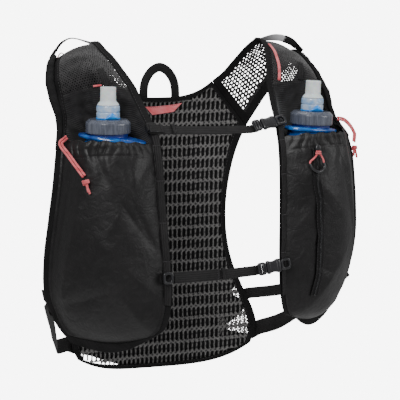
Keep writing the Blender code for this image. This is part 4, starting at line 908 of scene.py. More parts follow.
# %% Front lining
ribbed_cloth = woven(
    # ribbed polyamide and elastane: matt black valleys and greyer rounded ribs
    "ribbed stretch cloth", "090809", "262526", (0.0300, 0.0022), 0.85, 0.9, Sheen_Weight=0.2,
)
ts = np.concatenate([np.linspace(7.22, MOUTH_T, 40), np.linspace(9.54, LAST_T, 110)])
share = np.linspace(0, 1, 56)
for side, sign in SIDES:
    t = np.broadcast_to(ts[:, None], (len(ts), len(share)))
    u = between_tapes(share, t)
    mesh = grid_mesh(f"{side}_front", placed(lining(u, t), side, u, t))
    cloth = dress(mesh, ribbed_cloth, [f"{side}_front"], wall=0.0009)
    print(cloth.name, len(mesh.polygons), "quads")

# %% [markdown]
# The pocket's outer cloth is a light nylon with a thin coating: dark, smooth and slightly
# shiny, so it is read by its highlights. Fine creases come from a stretched noise, and broad
# folds are in the shape itself.

# %% Pocket nylon
coated_nylon, tree, body = new_finish(
    # calendered nylon taffeta with a polyurethane coat: near black, satin, crisp creases
    "coated nylon taffeta", Roughness=0.44, Coat_Weight=0.08,
    Coat_Roughness=0.40, Specular_IOR_Level=0.35,
)
at = add(tree, "ShaderNodeUVMap", {}).outputs[0]
space = add(tree, "ShaderNodeTexCoord", {}).outputs["Object"]
broad = add(tree, "ShaderNodeTexNoise", {"Vector": space, "Scale": 26.0, "Detail": 4}).outputs[0]
crease = add(tree, "ShaderNodeTexNoise", {"Vector": space, "Scale": 90.0, "Detail": 7,
                                          "Distortion": 1.2}).outputs[0]
taffeta = add(tree, "ShaderNodeMath", {0: bands(tree, at, 0.0012, "X"), 1: bands(tree, at, 0.0012, "Y")},
              operation="MULTIPLY").outputs[0]
both = add(tree, "ShaderNodeMath", {0: broad, 1: crease}, operation="MULTIPLY").outputs[0]
lit = add(tree, "ShaderNodeMapRange", {0: both, 1: 0.12, 2: 0.42}).outputs[0]
tree.links.new(mix(tree, lit, linear("050405"), linear("151314")), body.inputs["Base Color"])
rough = add(tree, "ShaderNodeMapRange", {0: broad, 1: 0.3, 2: 0.7, 3: 0.36, 4: 0.54}).outputs[0]
tree.links.new(rough, body.inputs["Roughness"])
first = add(tree, "ShaderNodeBump", {"Height": both, "Strength": 0.5, "Distance": 0.004})
second = add(tree, "ShaderNodeBump", {"Height": taffeta, "Strength": 0.18, "Distance": 0.0004,
                                      "Normal": first.outputs[0]})
tree.links.new(second.outputs[0], body.inputs["Normal"])


def tapes_clear(share, t):
    """u across a pocket, with its raw edges 2 mm inside the two tapes."""
    inset = (TAPE - 0.002) / width(t)
    return inset * (1 - share) + (1 - inset) * share


ts, share = np.linspace(9.54, LAST_T, 190), np.linspace(0, 1, 110)
for side, sign in SIDES:
    raised = {"left": (0.14, 0.0, 0.0, 0.62), "right": (0.04, 0.0, 0.10, 0.42)}[side]
    raised = np.interp(share, (0, 0.35, 0.72, 1.0), raised) + 0.03 * np.sin(41 * share)
    t = ts[:, None] - raised * np.clip((10.4 - ts[:, None]) / 0.86, 0, 1) ** 1.5
    u = tapes_clear(share, t)
    hem = np.exp(-(((t - 9.62) / 0.10) ** 2)) * 0.0007 - np.exp(-(((t - 10.02) / 0.05) ** 2)) * 0.0006
    cloth_at = pocket_cloth(side, u, t, hem * np.clip(arch(u, t) * 2, 0, 1))
    mesh = grid_mesh(f"{side}_pocket", placed(cloth_at, side, u, t))
    dress(mesh, coated_nylon, [f"{side}_pocket"], wall=0.0009)

# %% Pocket binding
down = np.linspace(9.46, FOOT_T, 110)
run = np.linspace(0, 1, 42)[1:-1]
low_t = LAST_T - 0.10  # the tape laps over the cloth's closed end
for side, sign in SIDES:
    edge_u = np.concatenate([0 * down, run, 0 * down + 1])
    edge_t = np.concatenate([down, 0 * run + FOOT_T, down[::-1]])
    inner_down = np.minimum(down, low_t)
    inset = TAPE / width(inner_down)
    inner_u = np.concatenate([inset, inset[-1] * (1 - run) + (1 - inset[-1]) * run, 1 - inset[::-1]])
    inner_t = np.concatenate([inner_down, 0 * run + low_t, inner_down[::-1]])
    outer_line, inner_line = chord(edge_u, edge_t), chord(inner_u, inner_t)
    facing = outward(np.clip(edge_u, 0.02, 0.98), np.minimum(edge_t, 15.9))
    lines = placed(outer_line, side, edge_u, edge_t), placed(inner_line, side, inner_u, inner_t)
    grid = tape_grid(*lines, mirrored(facing, sign), 0.0024)
    mesh = grid_mesh(f"{side}_pocket_binding", grid, False, True, True)
    dress(outwards(mesh), bound_tape, [f"{side}_pocket_binding"])
    print(mesh.name, round(length_of(mirrored(outer_line, sign)), 3), "m of tape")

# %% [markdown]
# Stitches are what makes tape look sewn. A stitch is a short thread that dives in at both
# ends, so it is a thin tube of five sides that rises in its middle. Hundreds of them are one
# mesh: all their points are worked out as a single array. Seams space them along a line, and a
# bartack lays a dozen side by side across a load-bearing fold.

# %% Stitches
sewing_thread = woven(
    # bonded polyester thread: dark grey, slightly shiny, so a seam reads as a broken line
    "bonded sewing thread", "1a191a", "4c4a4c", (0.0006, 0.0006), 0.55, 0.3,
)
SIDES_OF_THREAD, RISE = 5, np.array([-0.8, 0.3, 0.8, 0.3, -0.8])


def stitch_mesh(name, starts, ends, facing, radius=0.00028):
    """Five rings from start to end for every stitch, lifted by RISE times the radius."""
    along = unit(ends - starts)[:, None]
    beside, share = np.cross(along, facing[:, None]), np.linspace(0, 1, 5)[None, :, None]
    centre = starts[:, None] * (1 - share) + ends[:, None] * share
    centre = centre + facing[:, None] * RISE[None, :, None] * radius
    turn = np.linspace(0, 2 * np.pi, SIDES_OF_THREAD, endpoint=False)[None, None, :, None]
    size = radius * np.array([0.5, 1, 1, 1, 0.5])[None, :, None, None]
    ring = (beside[:, :, None] * np.cos(turn) + facing[:, None, None] * np.sin(turn)) * size
    points = centre[:, :, None] + ring
    index = np.arange(points[..., 0].size).reshape(points.shape[:3])
    after = np.roll(index, -1, axis=2)
    quads = np.stack([index[:, :-1], after[:, :-1], after[:, 1:], index[:, 1:]], axis=-1)
    caps = index[:, 0, ::-1].tolist() + index[:, -1].tolist()
    mesh = bpy.data.meshes.new(name)
    mesh.from_pydata(points.reshape(-1, 3).tolist(), [], quads.reshape(-1, 4).tolist() + caps)
    mesh.uv_layers.new(name="metres")
    return outwards(mesh)


def seam(path, facing, length=0.0026, gap=0.0011):
    """Starts, ends and facings of stitches spaced along a path."""
    run = np.concatenate([[0], np.linalg.norm(np.diff(path, axis=0), axis=1).cumsum()])
    first = np.arange(0.001, run[-1] - length, length + gap)
    at = [np.stack([np.interp(s, run, line[:, k]) for k in range(3)], axis=-1)
          for s, line in ((first, path), (first + length, path), (first, facing))]
    return at[0], at[1], unit(at[2])


def bartack(middle, across, along, out, breadth, threads=9, depth=0.0018):
    """Threads side by side over a breadth, each one crossing the webbing's fold."""
    place = np.linspace(-0.5, 0.5, threads)[:, None] * breadth
    lean = np.where(np.arange(threads) % 2, 0.0003, -0.0003)[:, None]
    starts = middle + across * (place - lean) - along * depth / 2
    ends = middle + across * (place + lean) + along * depth / 2
    return starts, ends, np.broadcast_to(out, starts.shape)


def sewn(name, groups, radius=0.00028, body="root"):
    """One piece from several groups of stitches."""
    joined = [np.concatenate(part) for part in zip(*groups)]
    made = dress(stitch_mesh(name, *joined, radius), sewing_thread, body=body)
    print(name, len(joined[0]), "stitches")
    return made


for side, sign in SIDES:
    groups = []
    for first_t, last_t, inner_edge in ((0.1, 9.45, 0), (0.1, 9.45, 1), (9.6, 15.2, 0), (9.6, 15.2, 1)):
        t = np.linspace(first_t, last_t, 200)
        share = tape_shares(t)[0] if last_t < 9.5 else TAPE / width(t)
        u = share * 0.78 if inner_edge == 0 else 1 - tape_shares(t)[1] * 0.86
        if last_t > 9.5 and inner_edge:
            u = 1 - share * 0.78
        points = placed(lining(u, t, 0.00125), side, u, t)
        groups.append(seam(points, mirrored(outward(u, t), sign)))
    share = np.linspace(0.02, 0.98, 160)
    t = np.full_like(share, 10.06)
    u = tapes_clear(share, t)
    points = placed(pocket_cloth(side, u, t, 0.0002), side, u, t)
    groups.append(seam(points, mirrored(outward(u, t), sign), 0.0022, 0.0009))
    sewn(f"{side}_band_seams", groups)
edge, facing = inset_back(np.linspace(0, 1, 121), np.linspace(0, 1, 151), 0.0066)
sewn("back_seam", [seam(edge - facing * 0.0013, -facing)])

# %% [markdown]
# Webbing is a thick flat weave. Two rails of it run down the inner edges of the front, sewn
# down at intervals so that the chest straps can be moved from gap to gap. Between its bartacks
# each rail bows out a little.

# %% Rails
flat_webbing = woven(
    # nylon webbing: ribbed rows 1.3 mm apart, charcoal, a faint sheen on the ribs
    "charcoal nylon webbing", "080708", "191718", (0.0022, 0.0013), 0.62, 0.8, patch=0.02,
    Specular_IOR_Level=0.35,
)
TACKS_T = np.array([8.74, 9.55, 10.85, 11.95, 12.95, 14.15])


def ribbon_grid(centres, across, breadth, facing, thickness=0.0012):
    """A tape half its breadth to each side of a line."""
    half = unit(across) * np.broadcast_to(breadth, len(centres))[:, None] / 2
    return tape_grid(centres + half, centres - half, facing, thickness, 16)


def ribbon(name, centres, across, breadth, thickness=0.0012):
    """A rounded flat profile carried along a line, closed at both ends."""
    along = unit(np.gradient(centres, axis=0))
    across = unit(across - along * np.sum(along * across, axis=1, keepdims=True))
    facing = np.cross(along, across)
    grid = ribbon_grid(centres, across, breadth, facing, thickness)
    return outwards(grid_mesh(name, grid, False, True, True)), facing


for side, sign in SIDES:
    t = np.linspace(8.7, 14.2, 240)
    u = TAPE / 2 / width(t)
    near = np.abs(t[:, None] - TACKS_T).min(axis=1)
    lift = 0.0019 + 0.0011 * np.clip(near / 0.35, 0, 1) ** 0.7
    centres = mirrored(lining(u, t, lift), sign)
    across = mirrored(chord(u + 0.01, t) - chord(u - 0.01, t), sign)
    mesh, _ = ribbon(f"{side}_rail", centres, across, 0.0072)
    dress(mesh, flat_webbing, [f"{side}_rail"])
    groups = []
    for tack in TACKS_T[1:-1]:
        u = np.array([TAPE / 2 / width(tack)])
        out = mirrored(outward(u, np.array([tack])), sign)[0]
        middle = mirrored(lining(u, np.array([tack]), 0.0026), sign)[0]
        across = unit(mirrored(chord(u + 0.01, tack) - chord(u - 0.01, tack), sign))[0]
        groups.append(bartack(middle, across, np.cross(out, across), out, 0.0066, 11))
    sewn(f"{side}_rail_tacks", groups)

# %% [markdown]
# A side-release buckle is moulded acetal: a glossy hollow body, a ladder that locks the
# webbing and a forked loop that hooks round the rail. The body is a row of rounded sections
# whose size changes along its length, and the open parts are a bar carried round a rounded
# rectangle. Powers of sine and cosine, below one, square the circle off.

# %% Buckles and chest straps
moulded_acetal, tree, body = new_finish(
    # injection-moulded acetal: dark grey, glossy, with faint flow marks and rubbed edges
    "moulded acetal", Roughness=0.32, IOR=1.48, Coat_Weight=0.25, Coat_Roughness=0.2,
)
at = add(tree, "ShaderNodeTexCoord", {}).outputs["Object"]
flow = add(tree, "ShaderNodeTexNoise", {"Vector": at, "Scale": 420.0, "Detail": 4}).outputs[0]
tree.links.new(mix(tree, flow, linear("101012"), linear("26262a")), body.inputs["Base Color"])
shine = add(tree, "ShaderNodeMapRange", {0: flow, 3: 0.22, 4: 0.42}).outputs[0]
tree.links.new(shine, body.inputs["Roughness"])
bump = add(tree, "ShaderNodeBump", {"Height": flow, "Strength": 0.15, "Distance": 0.0003})
tree.links.new(bump.outputs[0], body.inputs["Normal"])


CLOTH, GAP, WEB, RAIL_HIGH = 0.0012, 0.0003, 0.0012, 0.0027  # what lies under a strap's end
LADDER, SOCKET_LONG, HOOK_LONG, LAP = 0.0098, 0.0165, 0.0115, 0.004  # along the strap
HOOK_HALF = 0.00575


def rail_point(sign, t, lift):
    """The middle of the rail at t, lifted by the layers sewn one over another below it."""
    stack = CLOTH + GAP + WEB + RAIL_HIGH + lift
    return mirrored(lining(TAPE / 2 / width(t), t, stack), sign)


def rail_rise(t):
    """Up along the rail at t: the difference of two near points, without its part in x."""
    u = TAPE / 2 / width(t)
    return unit((chord(u, t - 0.1) - chord(u, t + 0.1)) * np.array([0, 1, 1]))


def strap_axes(origin, towards, rise):
    """Rows: along the strap, up the rail and away from the chest."""
    along = unit(towards - origin)
    up = unit(rise - along * (along @ rise))
    return np.stack([along, up, np.cross(along, up)])


def squared(turn, power=0.45):
    """A circle squared off: cosine and sine raised to a power, with their signs kept."""
    c, s = np.cos(turn), np.sin(turn)
    return np.sign(c) * np.abs(c) ** power, np.sign(s) * np.abs(s) ** power


def open_loop(name, axes, origin, middle, half, band, thickness):
    """A squared bar carried round a rounded rectangle in the plane of the first two axes."""
    x, y = squared(np.linspace(0, 2 * np.pi, 64, endpoint=False), 0.5)
    a, b = squared(np.linspace(0, 2 * np.pi, 14, endpoint=False), 0.6)
    reach = 1 + (a[None, :] - 1) * band / 2 / np.array(half)[:, None, None]
    flat = np.stack([x[:, None] * half[0] * reach[0], y[:, None] * half[1] * reach[1]], axis=-1)
    high = np.broadcast_to(b * thickness / 2, flat.shape[:2])
    local = np.concatenate([flat + np.array(middle), high[..., None]], axis=-1)
    return outwards(grid_mesh(name, origin + local @ axes, True, True))


def body_of_sections(name, axes, origin, rows):
    """Squared sections along the first axis; rows are place, half height, half depth."""
    row = smooth(rows, np.linspace(0, len(rows) - 1, 60)) * (1, 1.07, 1)
    y, z = squared(np.linspace(0, 2 * np.pi, 40, endpoint=False), 0.55)
    local = np.stack(np.broadcast_arrays(row[:, :1], y * row[:, 1:2], z * row[:, 2:3]), axis=-1)
    return outwards(grid_mesh(name, origin + local @ axes, False, True, True))


SOCKET = (
    # along, half height, half depth
    (0.0000, 0.0046, 0.0016), (0.0004, 0.0062, 0.0024), (0.0018, 0.0067, 0.0029),
    (0.0034, 0.0066, 0.0030), (0.0040, 0.0062, 0.0026), (0.0048, 0.0060, 0.0027),
    (0.0066, 0.0057, 0.0029), (0.0090, 0.0058, 0.0030), (0.0112, 0.0064, 0.0030),
    (0.0124, 0.0068, 0.0027), (0.0136, 0.0069, 0.0029), (0.0154, 0.0067, 0.0026),
    (0.0162, 0.0058, 0.0020), (0.0165, 0.0046, 0.0014),
)
STRAPS = {
    # right t, left t, drop where the webbing meets its buckle
    "upper": (8.92, 8.82, 0.0020),
    "lower": (13.38, 13.24, -0.0010),
}
for name, (right_t, left_t, drop) in STRAPS.items():
    left_end, right_end = rail_point(1.0, left_t, 0.0021), rail_point(-1.0, right_t, 0.0006)
    total = LADDER + SOCKET_LONG + HOOK_LONG + 0.0006 - LAP
    start = np.array([left_end[0] - total, left_end[1], right_end[2] - drop])
    axes = strap_axes(start, left_end, rail_rise(left_t))
    ladder = open_loop(f"{name}_ladder", axes, start, (0.0049, 0), (0.0049, 0.0069), 0.0019, 0.0034)
    dress(ladder, moulded_acetal, [f"{name}_buckle_prong"])
    bars = [
        tube(f"{name}_ladder_bar_{k}", start + np.array([(x, y, 0.0004) for y in (-0.0058, 0.0058)]) @ axes,
             0.0014, 10, axes[2])
        for k, x in (("near", 0.0034), ("far", 0.0064))
    ]
    for bar in bars:
        dress(bar, moulded_acetal)
    socket = body_of_sections(f"{name}_socket", axes, start + axes[0] * 0.0101, SOCKET)
    dress(socket, moulded_acetal, [f"{name}_buckle_socket"])
    fork_at, fork_half = (0.0269 + HOOK_HALF, 0), (HOOK_HALF, 0.0061)
    fork = open_loop(f"{name}_hook", axes, start, fork_at, fork_half, 0.0027, 0.0038)
    dress(fork, moulded_acetal, [f"{name}_fork"])
    behind = -(0.0042 + 0.0012) / 2 - 0.0006
    entry = start + np.array([-0.003, 0, behind]) @ axes
    tail = start + np.array([0.0046, 0, behind]) @ axes
    head = right_end - np.array([0.0036, 0, 0])
    if name == "lower":
        at = rail_point(-1.0, right_t, 0.0021) - np.array([LAP, 0, 0])
        hook_axes = strap_axes(at, start, rail_rise(right_t))
        hook_half = (HOOK_HALF, 0.00625)
        mesh = open_loop("lower_strap_hook", hook_axes, at, (HOOK_HALF, 0), hook_half, 0.0028, 0.0036)
        dress(mesh, moulded_acetal, ["lower_strap_fork"])
        head = at + np.array([HOOK_LONG + 0.0009, 0, 0]) @ hook_axes
    share = np.linspace(0, 1, 60)[:, None]
    sag = np.array([0, 0, -0.0008]) * np.sin(np.pi * share)
    centres = np.vstack([head * (1 - share) + entry * share + sag, tail])
    turn = np.append(share[:, 0], 1.0)[:, None]
    up = rail_rise(right_t) * (1 - turn) + axes[1] * turn
    mesh, facing = ribbon(f"{name}_strap", centres - np.array([0, 0, 0.0006]), up, 0.0108)
    dress(mesh, flat_webbing, [f"{name}_strap"])
    facing = facing * np.sign(-facing[0, 1])
    laid = centres[:34] if name == "lower" else centres[:9]
    doubled, _ = ribbon(f"{name}_strap_fold", laid + facing[: len(laid)] * 0.0013, up[: len(laid)],
                        0.0118 if name == "lower" else 0.0104, 0.0011)
    dress(doubled, flat_webbing)
    keeper_at = 14 if name == "upper" else 36
    along = unit(centres[keeper_at + 1] - centres[keeper_at])
    local = np.stack([facing[keeper_at], up[keeper_at], along])
    mesh = open_loop(f"{name}_keeper", local, centres[keeper_at] + facing[keeper_at] * 0.0004, (0, 0),
                     (0.0022, 0.0064), 0.0010, 0.0042)
    dress(mesh, flat_webbing)
    tack_at = laid[-1] + facing[len(laid) - 1] * 0.0020
    sewn(f"{name}_strap_tacks", [bartack(tack_at - along * 0.002, unit(up[0]), along,
                                         facing[0], 0.0088, 11, 0.0022)])
    print(name, "strap", round(length_of(centres), 3), "m")
loop_axes = strap_axes(rail_point(-1.0, 8.85, 0.0006), rail_point(1.0, 8.66, 0.0), rail_rise(8.85))
mesh = open_loop("upper_strap_turn", loop_axes[[0, 2, 1]], rail_point(-1.0, 8.85, 0.0006), (0, -0.0019),
                 (0.0054, 0.0034), 0.0011, 0.0098)
dress(mesh, flat_webbing)

# %% [markdown]
# Two webbing straps a side tie the back panel to the front ones round the ribs. Their ends lie
# flat on the tape and are sewn to it; between the ends the strap follows a smooth curve, and
# its flat side turns slowly with it.

# %% Side straps
SIDE_STRAPS = {
    # back v, two points between, front t, breadth; the right lower one hangs in a deeper curve
    ("left", "upper"): (0.735, ((0.1400, 0.0253, -0.3005), (0.1660, -0.0173, -0.2810)), 13.90, 0.014),
    ("left", "lower"): (0.916, ((0.1380, 0.0226, -0.3370), (0.1550, -0.0230, -0.3040)), 14.00, 0.018),
    ("right", "upper"): (0.730, ((0.1360, 0.0253, -0.2995), (0.1600, -0.0173, -0.2815)), 14.05, 0.012),
    ("right", "lower"): (0.900, ((0.1425, 0.0226, -0.3425), (0.1565, -0.0186, -0.3190)), 14.60, 0.017),
}
for (side, name), (back_v, between, front_t, breadth) in SIDE_STRAPS.items():
    sign, lap, tape_u = (1.0 if side == "left" else -1.0), 0.0024, TAPE / 0.184
    behind = back(np.array([1 - 0.7 * tape_u, 1 + 0.35 * tape_u]), back_v) + np.array([0, lap, 0])
    edge = TAPE / width(front_t)
    u, t = np.array([1 + 0.35 * edge, 1 - 0.7 * edge]), np.full(2, front_t)
    front = placed(chord(u, t) - outward(u, t) * lap, side, u, t) * (sign, 1, 1)
    route = np.vstack([behind[1:], between, front[:1]])
    centres = np.vstack([behind[:1], smooth(route, np.linspace(0, len(route) - 1, 60)), front[1:]])
    rise = [unit(back(1.0, back_v - 0.02) - back(1.0, back_v + 0.02)),
            unit(chord(1.0, front_t - 0.2) - chord(1.0, front_t + 0.2))]
    share = np.linspace(0, 1, len(centres))[:, None]
    up = rise[0] * (1 - share) + rise[1] * share
    line = mirrored(centres, sign)
    mesh, facing = ribbon(f"{side}_side_strap_{name}", line, mirrored(up, sign), breadth)
    dress(mesh, flat_webbing, [f"{side}_side_strap_{name}"])
    tack = bartack(line[-2] * 0.4 + line[-1] * 0.6 + facing[-1] * 0.0008, unit(mirrored(up, sign)[-1]),
                   unit(line[-1] - line[-2]), facing[-1], breadth * 0.85, 12, 0.0022)
    sewn(f"{side}_side_strap_{name}_tacks", [tack])
    print(side, name, "side strap", round(length_of(centres), 3), "m")

# %% [markdown]
# The haul loop at the back of the neck is webbing bent into an arch. Below it hangs a small
# label of coral satin, left blank. On each shoulder stands a ribbon loop: bright reflective
# tape on its inner part, black at the arm.

# %% Haul loop, label and shoulder loops
HAUL = np.array([(1.00, 0.00), (1.00, 0.30), (0.94, 0.52), (0.76, 0.73), (0.44, 0.91), (0.00, 1.00)])
whole = np.vstack([HAUL * (-1, 1), HAUL[-2::-1]])
share = smooth(whole, np.linspace(0, len(whole) - 1, 90))
HAUL_HALF_WIDTH, HAUL_HEIGHT, HAUL_MIDDLE, HAUL_FOOT, HAUL_Y = 0.0194, 0.0397, -0.0034, -0.0750, 0.0591
x, z = share[:, 0] * HAUL_HALF_WIDTH + HAUL_MIDDLE, share[:, 1] * HAUL_HEIGHT + HAUL_FOOT
centres = np.stack([x, np.full_like(x, HAUL_Y), z], axis=1)
across = np.cross(np.gradient(centres, axis=0), (0.0, 1.0, 0.0))
mesh, _ = ribbon("haul_loop", centres, across, 0.0105, 0.0014)
dress(mesh, flat_webbing, ["haul_loop"])
groups = [bartack(np.array([x, 0.0582, -0.0735]), np.array([1.0, 0, 0]), np.array([0, 0, 1.0]),
                  np.array([0, -1.0, 0]), 0.0075, 10, 0.0024) for x in (-0.0234, 0.0166)]
sewn("haul_loop_tacks", groups)

coral_satin = woven(
    # damask-woven satin label: coral pink, soft sheen along its threads, heat-cut edges
    "coral satin label", "f2606a", "ff9296", (0.0009, 0.0016), 0.5, 0.25, Sheen_Weight=0.3,
)
LABEL_TOP, LABEL_FOOT = 0.033, 0.068  # v of the back
LABEL_HALVES = 0.0225, 0.0135  # half widths at the top and at the foot
share, v = np.meshgrid(np.linspace(-1, 1, 40), np.linspace(LABEL_TOP, LABEL_FOOT, 14), indexing="ij")
down = (v - LABEL_TOP) / (LABEL_FOOT - LABEL_TOP)
half = (LABEL_HALVES[0] + (LABEL_HALVES[1] - LABEL_HALVES[0]) * down) / (2 * BAND[0, 3])
out = 0.0026 + 0.0006 * np.sin(3 * share) * down
grid = back(0.5 + share * half * 1.03, v + 0.006 - 0.006 * share) - out[..., None] * np.array([0, 1.0, 0])
label = dress(grid_mesh("neck_label", grid), coral_satin, ["neck_label"], wall=0.0006)
edge = grid[2:-2, 1] - np.array([0, 0.0005, 0])
sewn("label_seam", [seam(edge, np.broadcast_to([0, -1.0, 0], edge.shape), 0.0018, 0.0008)], 0.0002)

reflective_ribbon, tree, body = new_finish(
    # glass-bead reflective ribbon: silver-grey, fine grain, bright where light meets it
    "glass-bead reflective ribbon", Roughness=0.38, Metallic=0.35,
)
at = add(tree, "ShaderNodeUVMap", {}).outputs[0]
bead = add(tree, "ShaderNodeTexNoise", {"Vector": at, "Scale": 1500.0, "Detail": 3}).outputs[0]
tree.links.new(mix(tree, bead, linear("8d8f93"), linear("e8e6e8")), body.inputs["Base Color"])
bump = add(tree, "ShaderNodeBump", {"Height": bead, "Strength": 0.2, "Distance": 0.0003})
tree.links.new(bump.outputs[0], body.inputs["Normal"])

share = np.linspace(0, 1, 90)
LOOPS = {
    # t at both ends, rise, lean of the peak to the arm, facing at the peak
    "left": (3.60, 4.75, 0.0076, 1.45, (0.62, -0.45, 0.62)),
    "right": (3.55, 3.70, 0.0150, 1.60, (-0.37, -0.92, 0.16)),
}
for side, sign in SIDES:
    start, end, rise, lean, peak = LOOPS[side]
    t = start + (end - start) * share**2
    u = 0.03 + 0.94 * share
    line = placed(lining(u, t, 0.0027 + 0.004 * np.clip(share * 3 - 2, 0, 1)), side, u, t)
    line[:, 2] += rise * np.sin(np.pi * share**lean) ** 0.8
    slope, stands = unit(chord(u, t + 0.1) - chord(u, t - 0.1)), np.sin(np.pi * share)[:, None]
    across = mirrored(slope, sign) * (1 - stands) + np.array(peak) * stands
    for name, part, breadth, finish in (
        (f"{side}_shoulder_loop", slice(0, 62), 0.0080, reflective_ribbon),
        (f"{side}_shoulder_loop_end", slice(58, 90), 0.0090, flat_webbing),
    ):
        mesh, _ = ribbon(name, line[part], across[part], breadth, 0.0009)
        node = [f"{side}_shoulder_loop"] if finish is reflective_ribbon else []
        dress(mesh, finish, node)

# %% [markdown]
# Small trims sit on the mesh: an upright tab behind each mouthpiece that can hold a tube, and
# on the left a flat coral braid. On the right the same braid runs under the mesh and only
# shows where it turns over the shoulder and at the mesh's hem.

# %% Tabs and shoulder braid
def on_mesh(sign, u, t, lift=0.0023):
    """A line laid on the shoulder mesh and, at each point, the way across the band."""
    centres = placed(lining(u, t, lift), "left" if sign > 0 else "right", u, t)
    return centres, mirrored(chord(u + 0.01, t) - chord(u - 0.01, t), sign)


for side, sign in SIDES:
    u, first, last = {"left": (0.42, 6.62, 7.24), "right": (0.34, 6.66, 7.26)}[side]
    t = np.linspace(first, last, 30)
    laid = on_mesh(sign, np.full_like(t, u), t)
    mesh, _ = ribbon(f"{side}_valve_tab", *laid, 0.0065)
    dress(mesh, flat_webbing, [f"{side}_valve_tab"])
rows = np.array([(0.120, 5.0), (0.150, 5.6), (0.160, 6.2), (0.158, 6.7), (0.150, 7.2)])
rows = smooth(rows, np.linspace(0, 4, 60))
mesh, _ = ribbon("left_shoulder_cord", *on_mesh(1.0, rows[:, 0], rows[:, 1]), 0.0036)
dress(mesh, coral_braid, ["left_shoulder_cord"])
share = np.linspace(0, 1, 40)
t = np.full_like(share, 3.72)
u = 0.70 + 0.20 * share
arch_line, across = on_mesh(-1.0, u, t + 0 * share, 0.0016)
arch_line[:, 2] += 0.0050 * np.sin(np.pi * share) ** 0.8
facing_out = np.broadcast_to((-0.37, -0.92, 0.1), arch_line.shape)
mesh, _ = ribbon("right_shoulder_braid_turn", arch_line, facing_out, 0.0036)
dress(mesh, coral_braid)
t, u = np.full_like(share, 7.22), 0.40 + 0.09 * share
laid, _ = on_mesh(-1.0, u, t, 0.0012)
mesh = tube("right_shoulder_braid_end", laid, 0.0011, 8, np.broadcast_to((0, 0, 1.0), laid.shape))
dress(mesh, coral_braid)

# %% [markdown]
# A soft flask sits in each pocket: a blow-moulded bag with a stiff blue flange under its
# screwed cap. Its rings follow a table, from the round neck through the thin flange to the oval
# body; between rows the sizes run straight, so that the flange keeps its edge. The film is
# crumpled by a sum of sines whose absolute value gives sharp creases.

# %% Flask film
film, tree, body = new_finish(
    # blow-moulded polyurethane film: deep blue, glossy, lighter where it folds to the light
    "blue polyurethane film", Roughness=0.22, IOR=1.5, Transmission_Weight=0.12,
    Coat_Weight=0.4, Coat_Roughness=0.12,
)
at = add(tree, "ShaderNodeTexCoord", {}).outputs["Object"]
cloud = add(tree, "ShaderNodeTexNoise", {"Vector": at, "Scale": 75.0, "Detail": 4}).outputs[0]
tone = add(tree, "ShaderNodeMapRange", {0: cloud, 1: 0.35, 2: 0.68}).outputs[0]
tree.links.new(mix(tree, tone, linear("0a2f86"), linear("1b7ad0")), body.inputs["Base Color"])
bump = add(tree, "ShaderNodeBump", {"Height": cloud, "Strength": 0.35, "Distance": 0.003})
tree.links.new(bump.outputs[0], body.inputs["Normal"])
navy_film, tree, body = new_finish(
    # the neck is a harder, darker moulding of the same plastic
    "navy polyurethane neck", Roughness=0.3, Coat_Weight=0.3, Coat_Roughness=0.2,
)
at = add(tree, "ShaderNodeTexCoord", {}).outputs["Object"]
cloud = add(tree, "ShaderNodeTexNoise", {"Vector": at, "Scale": 160.0}).outputs[0]
tree.links.new(mix(tree, cloud, linear("06195e"), linear("1238a0")), body.inputs["Base Color"])
LEAN = {"left": 3.0, "right": 0.8}
CAP_AT = np.array([0.6545 * 0.178, -0.7030 * 0.133, -0.2376 * 0.322])
FLANGE_TILT = {"left": 3.0, "right": 6.5}
FLANGE_SHIFT = {"left": 0.0, "right": 0.0045}


def cap_axes(side, sign):
    """Rows: across, forward-back and up the leaning flask, and the middle of the cap's top."""
    c, s = math.cos(math.radians(LEAN[side])), math.sin(math.radians(LEAN[side]))
    return np.array([(c, 0, -s), (0, 1, 0), (s, 0, c)]), CAP_AT * (sign, 1, 1)


def rings(rows, count, power=1.0):
    """Ovals from rows of height, half width and half depth; the power squares them."""
    row = np.asarray(rows)
    turn = np.linspace(0, 2 * np.pi, count, endpoint=False)
    x, y = squared(turn, power)
    parts = np.broadcast_arrays(x * row[:, 1:2], y * row[:, 2:3], row[:, :1])
    return np.stack(parts, axis=-1)


def resampled(rows, count):
    """Every column of a table, read off straight between its rows at even steps."""
    steps = np.linspace(0, len(rows) - 1, count)
    return np.stack([np.interp(steps, np.arange(len(rows)), column) for column in rows.T], -1)


